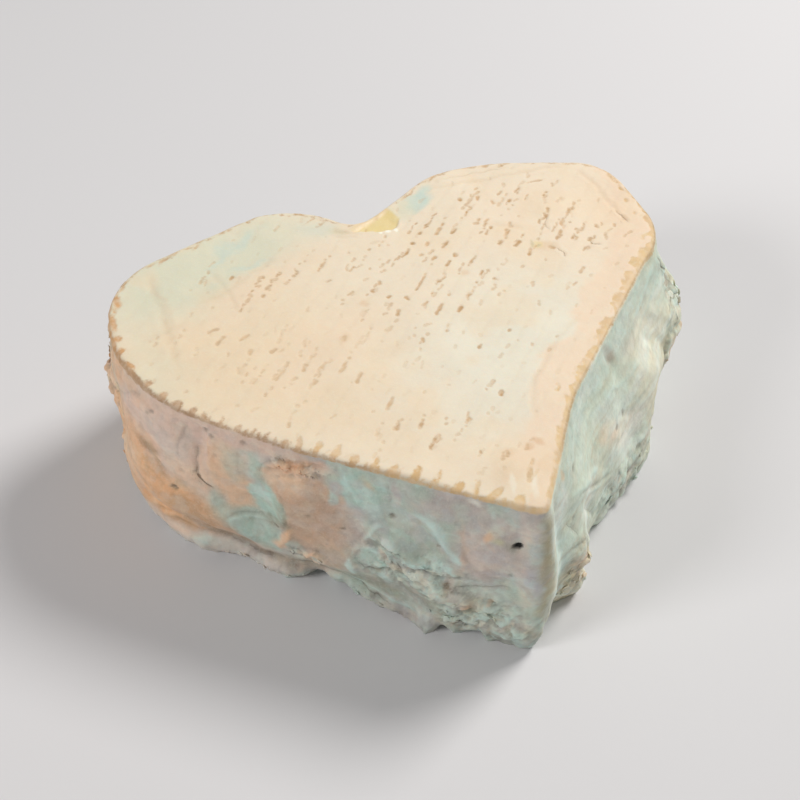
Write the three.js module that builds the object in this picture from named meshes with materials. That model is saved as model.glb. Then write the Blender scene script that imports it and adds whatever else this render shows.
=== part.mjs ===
// A heart-shaped soft cheese with a white mould rind, lying on its flat face.
// Millimetres, +Z up. The point of the heart looks along -Y, the cleft along +Y.
// The origin is on the resting face, under the middle of the top rim's bounding box.
// Places on the wall are [along, up]: along is the distance round the rim outline from
// the point, positive on the +X side and negative on the -X side, and up is the height.

import * as THREE from 'three';

// ---- Driving sizes -------------------------------------------------------------------

const HEIGHT = 48;            // resting face to top rim
const RIM_ROUND = 1.2;        // rounding between the wall and the top
const FOOT_ROUND = 5;         // height over which the wall curls in above the floor
const FOOT_TUCK = 2;          // how far it curls in there
const TOP_CENTRE = [0, 8];    // the rings of the top and the foot shrink towards this
const COLUMNS = 176;          // facets round the wall
const RING_THINNING = 1.5;    // how fast the rings of the top lose facets as they shrink
const NORMAL_SPAN = 2.5;      // half of the stretch of rim that a wall direction averages

// Rim outline, anticlockwise from the point: straight runs between rounded corners.
const CORNERS = [
  { name: 'point', x: 0.7, y: -57.4, round: 2.5 },
  { name: 'right flank, low', x: 21, y: -29.5, round: 60 },
  { name: 'right flank, high', x: 58.5, y: 4.5, round: 30 },
  { name: 'right hip', x: 68, y: 11.5, round: 19.5 },
  { name: 'right shoulder', x: 67.5, y: 42, round: 13 },
  { name: 'right brow', x: 44, y: 52, round: 20 },
  { name: 'right crown', x: 26.5, y: 57, round: 27 },
  { name: 'cleft, right lip', x: 5, y: 46, round: 20 },
  { name: 'cleft', x: -1.5, y: 43.5, round: 6 },
  { name: 'left crown', x: -14, y: 57.5, round: 20 },
  { name: 'left brow', x: -30, y: 55.5, round: 25 },
  { name: 'left shoulder', x: -63, y: 48, round: 22 },
  { name: 'left hip', x: -71, y: 20, round: 39 },
  { name: 'left flank, high', x: -60, y: 0, round: 49 },
  { name: 'left flank, low', x: -41, y: -20, round: 120 },
];

// How far the wall stands out past the rim, at stations round it: its foot on the floor,
// and a belly that is greatest at mid height. The right lobe has slumped outwards.
const STATIONS = [
  { along: -165, foot: 1.6, belly: 1.3 },
  { along: -145, foot: 1.0, belly: 1.4 },
  { along: -130, foot: 1.3, belly: 2.4 },
  { along: -115, foot: 0.9, belly: 0.8 },
  { along: -98, foot: 1.6, belly: 1.0 },
  { along: -78, foot: 1.4, belly: 0.7 },
  { along: -62, foot: 0.2, belly: 0.2 },
  { along: -40, foot: 1.4, belly: 0.2 },
  { along: -20, foot: 4.0, belly: 0.4 },
  { along: -7, foot: 2.6, belly: 0.4 },
  { along: 6, foot: 2.6, belly: 1.4 },
  { along: 20, foot: 6.6, belly: 3.4 },
  { along: 35, foot: 8.0, belly: 3.2 },
  { along: 50, foot: 10.8, belly: 3.0 },
  { along: 65, foot: 12.4, belly: 4.2 },
  { along: 80, foot: 8.6, belly: 4.6 },
  { along: 95, foot: 4.4, belly: 4.6 },
  { along: 115, foot: 1.6, belly: 1.0 },
  { along: 140, foot: 1.8, belly: 1.3 },
  { along: 165, foot: 1.8, belly: 1.2 },
  { along: 190, foot: 1.0, belly: 0.5 },
];

// Broad swells (rise > 0) and hollows (rise < 0) of the wall. reach is [along, up].
const SWELLS = [
  { name: 'tan cheek', at: [-92, 15], reach: [17, 7], rise: 1.3 },
  { name: 'cheek hollow', at: [-78, 24], reach: [6, 6], rise: -0.7 },
  { name: 'mint hollow', at: [-65, 24], reach: [3.5, 9], rise: -0.9 },
  { name: 'flap', at: [-54, 34], reach: [8, 9], rise: 0.9 },
  { name: 'dent beside the flap', at: [-43, 38], reach: [5, 7], rise: -0.7 },
  { name: 'trough above the foot', at: [-33, 9.5], reach: [12, 2.4], rise: -1.2 },
  { name: 'lavender bump', at: [-11, 31], reach: [6, 9], rise: 1.4 },
  { name: 'hollow left of the bump', at: [-25, 32], reach: [4, 8], rise: -0.6 },
  { name: 'ochre crust right of the point', at: [15, 14], reach: [4.5, 7], rise: 1.4 },
  { name: 'hollow behind the crust', at: [27, 12], reach: [6, 9], rise: -1.0 },
  { name: 'cream bump', at: [46, 28], reach: [9, 6], rise: 1.3 },
  { name: 'cool hollow under the rim', at: [36, 43], reach: [12, 3.5], rise: -0.8 },
  { name: 'crumpled fold', at: [68, 28], reach: [10, 6], rise: 1.2 },
  { name: 'hollow behind the fold', at: [82, 12], reach: [8, 6], rise: -1.4 },
  { name: 'waist under the right hip', at: [97, 41], reach: [7, 5], rise: -1.8 },
  { name: 'spur of the right hip', at: [93, 26], reach: [6, 4.5], rise: 2.0 },
  { name: 'back swell, right', at: [132, 26], reach: [12, 9], rise: 1.2 },
  { name: 'back hollow, right', at: [158, 17], reach: [9, 8], rise: -0.9 },
  { name: 'back swell, left', at: [-158, 22], reach: [13, 9], rise: 1.1 },
  { name: 'back hollow, left', at: [-137, 36], reach: [9, 6], rise: -0.8 },
];

// Narrow ridges (rise > 0) and creases (rise < 0), each along a short path. half is the
// distance from the path over which it fades.
const FOLDS = [
  { name: 'foot groove', half: 1.5, rise: -1.7,
    path: [[-96, 11.5], [-85, 10.5], [-75, 9.5], [-65, 7.2], [-50, 8], [-42, 7], [-28, 4.2]] },
  { name: 'foot lip', half: 1.9, rise: 0.9, path: [[-92, 6], [-62, 3.4], [-57, 3.2]] },
  { name: 'foot lip, right end', half: 1.6, rise: 0.8, path: [[-42, 3.6], [-26, 1.4]] },
  { name: 'cheek edge', half: 2.2, rise: 0.8,
    path: [[-110, 17], [-96, 22.5], [-88, 21.5], [-75, 17], [-67, 12]] },
  { name: 'shoulder crease', half: 1.1, rise: -1.0, path: [[-116, 29], [-104, 39], [-95, 46]] },
  { name: 'standing crease', half: 0.9, rise: -1.0,
    path: [[-78, 44], [-78.5, 33], [-77.3, 29], [-75, 27]] },
  { name: 'ridge beside the crease', half: 1.3, rise: 0.6, path: [[-76.3, 44], [-76, 33]] },
  { name: 'long crease', half: 1.0, rise: -0.5, path: [[-82, 45], [-84, 36], [-86, 29]] },
  { name: 'flap edge', half: 1.4, rise: 1.0,
    path: [[-65, 34], [-63, 40.5], [-57, 44.5], [-48.5, 47]] },
  { name: 'tan ridge', half: 1.2, rise: 0.9, path: [[-60, 12], [-57.3, 18], [-58.5, 25]] },
  { name: 'pink ridge', half: 1.1, rise: 0.7, path: [[-39.3, 22], [-37.5, 29], [-35, 33.5]] },
  { name: 'flaky ledge', half: 1.0, rise: 0.8, path: [[-35.5, 25], [-30, 26.6], [-26, 24]] },
  { name: 'mint ridge', half: 1.3, rise: 0.9,
    path: [[-27, 39], [-22, 33.5], [-20, 28.5], [-16, 26]] },
  { name: 'crease under the bump', half: 1.0, rise: -1.1,
    path: [[-20, 19.5], [-12, 20.5], [-5, 23]] },
  { name: 'ledge by the point', half: 1.2, rise: 0.9, path: [[-26, 13], [-17, 16], [-9, 12]] },
  { name: 'gully by the point', half: 1.1, rise: -0.9, path: [[-21, 10.5], [-12, 9.5], [-6, 12]] },
  { name: 'edge of the point', half: 1.5, rise: 0.6, path: [[1, 46], [2.5, 30], [4, 12]] },
  { name: 'gully right of the point', half: 1.2, rise: -0.9, path: [[6, 44], [8.5, 28], [10, 12]] },
  { name: 'crust edge', half: 1.1, rise: 0.9, path: [[8, 23], [14, 24], [20, 18], [22, 8]] },
  { name: 'long light ridge', half: 1.2, rise: 0.8,
    path: [[14, 36], [21, 34.5], [29, 28], [36, 22]] },
  { name: 'long dark crease', half: 1.1, rise: -0.8, path: [[20, 28], [27, 20], [33, 12]] },
  { name: 'wrinkle, upper', half: 1.1, rise: -1.0, path: [[37, 13], [45, 15.5], [57, 16.5]] },
  { name: 'wrinkle, middle', half: 1.1, rise: 0.9, path: [[38, 9.5], [48, 12], [60, 12.5]] },
  { name: 'wrinkle, lower', half: 1.1, rise: -0.9, path: [[40, 6], [50, 8], [62, 8.5]] },
  { name: 'rim step', half: 1.0, rise: -1.1, path: [[54, 48], [53, 41], [55.5, 36]] },
  { name: 'hip ridge, front', half: 1.3, rise: 0.8, path: [[62, 34], [72, 26], [82, 18]] },
  { name: 'hip crease', half: 1.1, rise: -1.0, path: [[70, 36], [80, 27], [88, 17]] },
  { name: 'hip ridge, back', half: 1.2, rise: 0.9, path: [[78, 38], [88, 30], [96, 18]] },
  { name: 'hip fold', half: 1.1, rise: 1.2, path: [[90, 44], [93, 36], [96.5, 32]] },
  { name: 'hip fold shadow', half: 0.9, rise: -1.0, path: [[92.5, 45], [95.5, 38], [99, 33]] },
];

// Flakes that stand off the foot: how far out, how wide and how high each reaches.
const FOOT_FLAKES = [
  { name: 'hanging drip', along: -23.5, out: 3.6, wide: 1.5, tall: 5 },
  { name: 'small flake', along: -58, out: 0.8, wide: 2.2, tall: 3 },
  { name: 'flake by the point', along: -10, out: 1.2, wide: 3, tall: 3.5 },
  { name: 'ochre flake', along: 17, out: 3.4, wide: 2.4, tall: 6 },
  { name: 'right foot flake', along: 41, out: 1.6, wide: 3, tall: 4 },
];

// Bites out of the foot, in the same terms.
const FOOT_NOTCHES = [
  { name: 'lifted foot', along: -51, out: -2.4, wide: 5, tall: 6 },
  { name: 'notch by the drip', along: -19.5, out: -1.2, wide: 1.8, tall: 4 },
  { name: 'small notch', along: -14, out: -1.2, wide: 1.6, tall: 4 },
  { name: 'notch right of the point', along: 8, out: -2, wide: 3, tall: 7 },
  { name: 'notch behind the ochre flake', along: 24, out: -2, wide: 3, tall: 7 },
];

const HOLE = { along: -4.6, up: 36.8, radius: 1.7, deep: 2.4 };   // bird's-eye hole by the point

// Teeth of crust round the front of the rim, where the mould's edge lifted the rind.
const TEETH = { from: -112, to: -6, pitch: 4.6, drop: 0.5, inward: 0.5 };

// The hidden back and the cleft carry folds like those of the front, drawn from a seed.
const BACK = { from: 112, to: 282, folds: 26, seed: 20, length: [7, 20], rise: [0.5, 1.1] };

// Relief of the top: [x, y] centres, reach along x and y, and rise.
const TOP_SWELLS = [
  { name: 'missing rind in the cleft', at: [4, 42], reach: [5, 2.6], rise: -0.8 },
  { name: 'lip left of the patch', at: [-6, 42.5], reach: [4, 2], rise: 0.4 },
  { name: 'left lobe hollow', at: [-38, 40], reach: [16, 9], rise: -0.5 },
  { name: 'middle crown', at: [-5, 0], reach: [32, 26], rise: 0.7 },
  { name: 'right lobe crown', at: [42, 34], reach: [14, 12], rise: 0.5 },
  { name: 'right lobe dip', at: [37, 17], reach: [6, 5], rise: -0.5 },
  { name: 'dip along the right edge', at: [28, -10], reach: [9, 14], rise: -0.5 },
  { name: 'raised point', at: [1, -46], reach: [7, 8], rise: 0.4 },
];

const LIP = { reach: 2.4, rise: 0.5 };    // raised edge of the top, just inside the rim
const LUMPS = { count: 14, seed: 7, wavelength: [11, 30], rise: 0.16 };   // gentle unevenness
const TOP_CALM = 0.5;                    // share of it that the flatter top has

const RIND_COLOUR = '#e9dcc4';

// ---- Helpers -------------------------------------------------------------------------

// Park-Miller random numbers, so that every build draws the same ones.
function makeRandom(seed) {
  let state = seed;
  return () => {
    state = (state * 16807) % 2147483647;
    return state / 2147483647;
  };
}

const between = ([low, high], share) => low + (high - low) * share;
const bell = (distance) => Math.exp(-distance * distance);
const clamp01 = (value) => Math.min(1, Math.max(0, value));

// ---- Rim outline ---------------------------------------------------------------------

// One rounded corner as the points of its arc.
function cornerArc(before, corner, after) {
  const here = new THREE.Vector2(corner.x, corner.y);
  const back = new THREE.Vector2(before.x, before.y).sub(here).normalize();
  const ahead = new THREE.Vector2(after.x, after.y).sub(here).normalize();
  const half = Math.acos(back.dot(ahead)) / 2;
  const bisector = back.clone().add(ahead).normalize();
  const centre = here.clone().addScaledVector(bisector, corner.round / Math.sin(half));
  const runOut = corner.round / Math.tan(half);
  const start = here.clone().addScaledVector(back, runOut).sub(centre);
  const end = here.clone().addScaledVector(ahead, runOut).sub(centre);
  const turn = Math.atan2(start.cross(end), start.dot(end));
  const steps = Math.max(2, Math.ceil((Math.abs(turn) * corner.round) / 0.5));
  const origin = new THREE.Vector2(0, 0);
  const arc = [];
  for (let step = 0; step <= steps; step += 1) {
    arc.push(start.clone().rotateAround(origin, (turn * step) / steps).add(centre));
  }
  return arc;
}

// The whole outline, starting at its lowest point, with the distance run at each point.
function makeOutline() {
  const count = CORNERS.length;
  const loop = CORNERS.flatMap((corner, i) =>
    cornerArc(CORNERS[(i + count - 1) % count], corner, CORNERS[(i + 1) % count]));
  const lowest = loop.reduce((best, point, i) => (point.y < loop[best].y ? i : best), 0);
  const points = [...loop.slice(lowest), ...loop.slice(0, lowest), loop[lowest]];
  const run = [0];
  for (let i = 1; i < points.length; i += 1) {
    run.push(run[i - 1] + points[i].distanceTo(points[i - 1]));
  }
  return { points, run, length: run[run.length - 1] };
}

const outline = makeOutline();

// Wrap a distance round the rim into -half to +half of the outline.
function wrap(along) {
  return along - outline.length * Math.round(along / outline.length);
}

function rimPoint(along) {
  const distance = along - outline.length * Math.floor(along / outline.length);
  let i = 1;
  while (i < outline.run.length - 1 && outline.run[i] < distance) i += 1;
  const share = (distance - outline.run[i - 1]) / (outline.run[i] - outline.run[i - 1] || 1);
  return outline.points[i - 1].clone().lerp(outline.points[i], share);
}

function rimNormal(along) {
  const run = rimPoint(along + NORMAL_SPAN).sub(rimPoint(along - NORMAL_SPAN)).normalize();
  return new THREE.Vector2(run.y, -run.x);
}

// ---- Relief --------------------------------------------------------------------------

function makeBackFolds() {
  const random = makeRandom(BACK.seed);
  return Array.from({ length: BACK.folds }, () => {
    const along = between([BACK.from, BACK.to], random());
    const up = between([5, 42], random());
    const length = between(BACK.length, random());
    const slant = between([-0.9, 0.9], random()) + (random() < 0.5 ? 0 : Math.PI / 2);
    const rise = between(BACK.rise, random()) * (random() < 0.5 ? -1 : 1);
    const half = between([0.9, 1.6], random());
    const reach = [(Math.cos(slant) * length) / 2, (Math.sin(slant) * length) / 2];
    const bend = between([-2, 2], random());
    return {
      half,
      rise,
      path: [
        [along - reach[0], Math.max(2, up - reach[1])],
        [along + bend, up],
        [along + reach[0], Math.min(45, up + reach[1])],
      ],
    };
  });
}

function makeLumps() {
  const random = makeRandom(LUMPS.seed);
  return Array.from({ length: LUMPS.count }, () => {
    const heading = random() * 2 * Math.PI;
    const climb = between([-0.8, 0.8], random());
    const wave = (2 * Math.PI) / between(LUMPS.wavelength, random());
    const flat = Math.sqrt(1 - climb * climb);
    return {
      x: Math.cos(heading) * flat * wave,
      y: Math.sin(heading) * flat * wave,
      z: climb * wave,
      phase: random() * 2 * Math.PI,
    };
  });
}

const folds = [...FOLDS, ...makeBackFolds()];
const lumps = makeLumps();

function lumpRise(x, y, z) {
  return lumps.reduce((sum, lump) =>
    sum + LUMPS.rise * Math.sin(lump.x * x + lump.y * y + lump.z * z + lump.phase), 0);
}

// Distance in the wall's own surface from [along, up] to a path.
function distanceToPath(along, up, path) {
  const start = path[0][0] + wrap(along - path[0][0]);
  let nearest = Infinity;
  for (let i = 1; i < path.length; i += 1) {
    const [a0, u0] = path[i - 1];
    const [da, du] = [path[i][0] - a0, path[i][1] - u0];
    const share = clamp01(((start - a0) * da + (up - u0) * du) / (da * da + du * du));
    nearest = Math.min(nearest, Math.hypot(start - a0 - share * da, up - u0 - share * du));
  }
  return nearest;
}

// Foot and belly at a station, eased from one to the next.
function stationAt(along) {
  const last = STATIONS.length - 1;
  const place = wrap(along);
  let i = STATIONS.findIndex((station) => station.along > place);
  if (i === -1) i = 0;
  const after = STATIONS[i];
  const before = STATIONS[i === 0 ? last : i - 1];
  const span = wrap(after.along - before.along) || 1;
  const share = clamp01(wrap(place - before.along) / span);
  const ease = share * share * (3 - 2 * share);
  return {
    foot: between([before.foot, after.foot], ease),
    belly: between([before.belly, after.belly], ease),
  };
}

function footPieces(along, up) {
  return [...FOOT_FLAKES, ...FOOT_NOTCHES].reduce((sum, piece) =>
    sum + piece.out * bell(wrap(along - piece.along) / piece.wide) * bell(up / piece.tall), 0);
}

// How far the wall stands out from the rim outline.
function wallOut(along, up) {
  const share = up / HEIGHT;
  const { foot, belly } = stationAt(along);
  const point = rimPoint(along);
  let out = foot * (1 - share) + belly * Math.sin(Math.PI * share);
  out -= FOOT_TUCK * clamp01(1 - up / FOOT_ROUND) ** 2;
  for (const { at, reach, rise } of SWELLS) {
    out += rise * bell(Math.hypot(wrap(along - at[0]) / reach[0], (up - at[1]) / reach[1]));
  }
  for (const { path, half, rise } of folds) {
    out += rise * bell(distanceToPath(along, up, path) / half);
  }
  out += footPieces(along, up) + lumpRise(point.x, point.y, up);
  const place = wrap(along - HOLE.along);
  out -= HOLE.deep * bell(Math.hypot(place, up - HOLE.up) / HOLE.radius);
  return out * clamp01((HEIGHT - up) / 4);
}

// 1 on a tooth of the rim and 0 between teeth or away from them.
function tooth(along) {
  const place = wrap(along);
  if (place < TEETH.from || place > TEETH.to) return 0;
  return Math.max(0, Math.sin((2 * Math.PI * (place - TEETH.from)) / TEETH.pitch));
}

function topUp(x, y) {
  let up = HEIGHT + TOP_CALM * lumpRise(x, y, HEIGHT);
  for (const { at, reach, rise } of TOP_SWELLS) {
    up += rise * bell(Math.hypot((x - at[0]) / reach[0], (y - at[1]) / reach[1]));
  }
  return up;
}

// ---- Mesh ----------------------------------------------------------------------------

// Join two closed rings of points, given by their first index and count, with triangles.
function stitch(triangles, lower, upper) {
  let i = 0;
  let j = 0;
  while (i < lower.count || j < upper.count) {
    const stepLower = j === upper.count || (i < lower.count
      && (i + 1) / lower.count <= (j + 1) / upper.count);
    const a = lower.first + (i % lower.count);
    const b = upper.first + (j % upper.count);
    if (stepLower) {
      triangles.push(a, lower.first + ((i + 1) % lower.count), b);
      i += 1;
    } else {
      triangles.push(a, upper.first + ((j + 1) % upper.count), b);
      j += 1;
    }
  }
}

function makeCheese() {
  const places = [];
  const rings = [];
  const triangles = [];

  const addRing = (count, pointAt) => {
    rings.push({ first: places.length / 3, count });
    for (let i = 0; i < count; i += 1) places.push(...pointAt((outline.length * i) / count));
  };
  const offsetPoint = (along, out, up) => {
    const point = rimPoint(along).addScaledVector(rimNormal(along), out);
    return [point.x, point.y, up];
  };
  const shrunkPoint = (along, out, share) => {
    const [x, y] = offsetPoint(along, out, 0);
    return [between([TOP_CENTRE[0], x], share), between([TOP_CENTRE[1], y], share)];
  };

  // The wall, from the floor up to where the rim starts to round over.
  const wallHeights = [0, 1.2, 2.8, 4.6, 6.6, 8.8, 11.2, 14, 17, 20, 23, 26, 29, 32, 35, 38, 41, 44];
  for (const up of wallHeights) {
    addRing(COLUMNS, (along) => offsetPoint(along, wallOut(along, up), up));
  }

  // The rounded rim, with its teeth.
  for (const angle of [0, 45, 90].map(THREE.MathUtils.degToRad)) {
    const out = -RIM_ROUND * (1 - Math.cos(angle));
    const drop = RIM_ROUND * (1 - Math.sin(angle));
    addRing(COLUMNS, (along) => {
      const inward = out - TEETH.inward * tooth(along) * Math.sin(angle);
      const [x, y] = offsetPoint(along, inward, 0);
      const lift = topUp(x, y) - HEIGHT + LIP.rise;
      return [x, y, HEIGHT - drop + lift * Math.sin(angle) - TEETH.drop * tooth(along)];
    });
  }

  // The top, in rings that shrink to its centre.
  for (const share of [0.955, 0.9, 0.83, 0.75, 0.66, 0.56, 0.45, 0.33, 0.2]) {
    addRing(Math.round(COLUMNS * share ** RING_THINNING) + 6, (along) => {
      const [x, y] = shrunkPoint(along, -RIM_ROUND, share);
      const inside = rimPoint(along).distanceTo(new THREE.Vector2(x, y));
      return [x, y, topUp(x, y) + LIP.rise * bell(inside / LIP.reach)];
    });
  }

  for (let i = 1; i < rings.length; i += 1) stitch(triangles, rings[i - 1], rings[i]);

  // Close the top and the flat foot with a fan each.
  const crown = places.length / 3;
  places.push(...TOP_CENTRE, topUp(...TOP_CENTRE));
  const last = rings[rings.length - 1];
  for (let i = 0; i < last.count; i += 1) {
    triangles.push(last.first + i, last.first + ((i + 1) % last.count), crown);
  }
  const heel = places.length / 3;
  places.push(...TOP_CENTRE, 0);
  for (let i = 0; i < COLUMNS; i += 1) triangles.push((i + 1) % COLUMNS, i, heel);

  const geometry = new THREE.BufferGeometry();
  geometry.setAttribute('position', new THREE.Float32BufferAttribute(places, 3));
  geometry.setIndex(triangles);
  geometry.computeVertexNormals();
  return geometry;
}

function makeRind() {
  return new THREE.MeshStandardMaterial({
    name: 'rind', color: RIND_COLOUR, roughness: 0.75, metalness: 0, flatShading: true });
}

const cheese = new THREE.Mesh(makeCheese(), makeRind());
cheese.name = 'cheese_heart';

const group = new THREE.Group();
group.add(cheese);

export default group;
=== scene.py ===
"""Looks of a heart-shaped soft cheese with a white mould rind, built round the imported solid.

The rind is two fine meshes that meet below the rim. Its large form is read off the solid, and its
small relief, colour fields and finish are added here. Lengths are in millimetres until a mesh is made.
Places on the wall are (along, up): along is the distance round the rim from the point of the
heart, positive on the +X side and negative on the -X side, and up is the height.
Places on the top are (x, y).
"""
import math

import bpy
import numpy as np
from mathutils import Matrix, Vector
from mathutils.bvhtree import BVHTree


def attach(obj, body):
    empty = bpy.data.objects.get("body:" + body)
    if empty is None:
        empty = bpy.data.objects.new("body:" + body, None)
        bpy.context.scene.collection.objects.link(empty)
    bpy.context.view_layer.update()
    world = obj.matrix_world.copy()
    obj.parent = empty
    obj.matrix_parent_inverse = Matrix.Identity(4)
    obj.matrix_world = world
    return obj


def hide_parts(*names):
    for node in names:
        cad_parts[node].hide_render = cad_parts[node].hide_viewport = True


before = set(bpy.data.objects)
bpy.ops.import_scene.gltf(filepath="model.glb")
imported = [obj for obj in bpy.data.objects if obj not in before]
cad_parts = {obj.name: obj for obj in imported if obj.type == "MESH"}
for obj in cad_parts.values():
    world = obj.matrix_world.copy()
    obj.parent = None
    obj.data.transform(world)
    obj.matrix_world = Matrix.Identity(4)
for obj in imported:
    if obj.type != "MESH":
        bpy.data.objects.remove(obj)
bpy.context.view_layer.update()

# ---- Sizes ----

MM = 0.001
NODE = "cheese_heart"
HEIGHT = 48.0          # resting face to the top rim
RIM_ROUND = 1.2        # rounding between the wall and the top
CENTRE = np.array([0.0, 8.0])
COLUMNS = 840          # points round the wall, about 0.47 mm apart
WALL_STEP = 0.47       # height between rows of the wall
TOP_STEP = 0.40        # distance between rings of the top
TOP_FINER = 1.2        # points of the top's rings for each point of the wall's
FOOT_STEP = 1.3        # distance between rings under the cheese
RIM_RINGS = 6          # rows over the rounded rim
SEAM_ROWS = 4          # rows of the wall that belong to the top's mesh
NORMAL_SPAN = 2.5      # half of the stretch of rim that a wall direction averages
PROBE = 40.0           # how far outside the rim a look at the solid's wall starts
TOP_BOX = (76, 64)     # half of the box that the solid's top is read in
TOP_BAND = 2.0         # how far the solid's top dips below the height at most
CRACK_REACH = 1.3      # how far from a hairline its distance is kept
CRACK_WIDE = 0.5       # a crack this wide or wider, from middle to edge, has no hairline
CRUST_LEVEL = 47.65    # height where the crust's outline starts, on the rounded rim
CRUST_DEPTH = 0.12     # how far the bare crust lies under the bloom
MARK_DEPTH = 0.16      # how deep the mat's marks are pressed
SMALL_FIELD = 3.5      # colour fields of the top with a smaller reach wander less
STREAK_TURN = math.radians(4)     # slope of the wall's streaks
FLAKE_LEVELS = (1.2, 45.5)        # lowest and highest place of a loose flake

# Rim outline, anticlockwise from the point: x, y and rounding of each corner.
CORNERS = [
    (0.7, -57.4, 2.5), (21, -29.5, 60), (58.5, 4.5, 30), (68, 11.5, 19.5), (67.5, 42, 13), (44, 52, 20),
    (26.5, 57, 27), (5, 46, 20), (-1.5, 43.5, 6), (-14, 57.5, 20), (-30, 55.5, 25), (-63, 48, 22),
    (-71, 20, 39), (-60, 0, 49), (-41, -20, 120),
]

# Camera: its direction, its distance and where the line of sight passes the origin.
VIEW_AZIMUTH = -23.0
VIEW_ELEVATION = 46.5
VIEW_DISTANCE = 378.1
VIEW_ASIDE = -7.3      # how far the line of sight passes to the left of the origin
VIEW_ABOVE = 18.5      # and above it
LENS = 67.5
SENSOR = 36.0

# Surface colours in sRGB, 0 to 255. Some also stand for light and shade: (184, 148, 115) is a brown
# stain colour that is also painted shade in hollows and along the foot's groove, (150, 130, 108) is
# painted shade under that groove, (166, 169, 152) is partly painted shade in the trough above the
# foot, (92, 72, 54) is crack and mark brown and partly painted shade in creases and pits, (14, 11, 8)
# is painted shade that fills the hole, and (208, 236, 228), (240, 202, 168), (232, 240, 232) and
# (246, 212, 182) are also painted highlights on ridges, crumbs and the flap's edge.
COLOURS = {
    "ivory": (239, 225, 202), "warm ivory": (239, 218, 187), "peach": (243, 218, 191),
    "mint ivory": (221, 221, 198), "pale mint": (235, 230, 212), "blue mint": (205, 220, 209),
    "bare paste": (236, 215, 152), "mark": (194, 156, 110), "vein": (222, 206, 180),
    "lavender": (232, 203, 186), "mauve": (200, 190, 184), "cheek": (240, 188, 142),
    "far tan": (242, 195, 152), "brown stain and shade": (184, 148, 115), "wall peach": (240, 202, 168),
    "mint": (184, 212, 198), "bright mint": (208, 236, 228), "orange": (250, 192, 150),
    "column": (212, 178, 151), "grey mint": (186, 200, 186), "olive grey": (158, 156, 134),
    "trough": (166, 169, 152), "lip": (220, 210, 202), "blue grey": (198, 204, 212),
    "sand": (226, 196, 160), "ochre": (216, 180, 128), "olive cream": (214, 208, 176),
    "right mint": (216, 228, 209), "cool mint": (196, 213, 200), "cream": (244, 238, 212),
    "olive": (194, 184, 146), "wrinkle": (182, 191, 167), "crust": (226, 196, 148),
    "rust": (214, 164, 112), "edge brown": (170, 140, 98), "shade brown": (150, 130, 108),
    "milk": (232, 240, 232), "blush": (246, 212, 182), "dot": (255, 254, 238), "white": (246, 243, 230),
    "dark": (92, 72, 54), "hole": (14, 11, 8),
}

# ---- The top ----

# The straw mat it drained on left rows of short brown marks, which run up and to the right.
MAT_TURN = math.radians(42.5)
MAT_PITCH = 4.02       # between rows
MAT_SHIFT = 1.9        # distance of the row nearest the origin from it
MAT_RISE = 0.07

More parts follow.
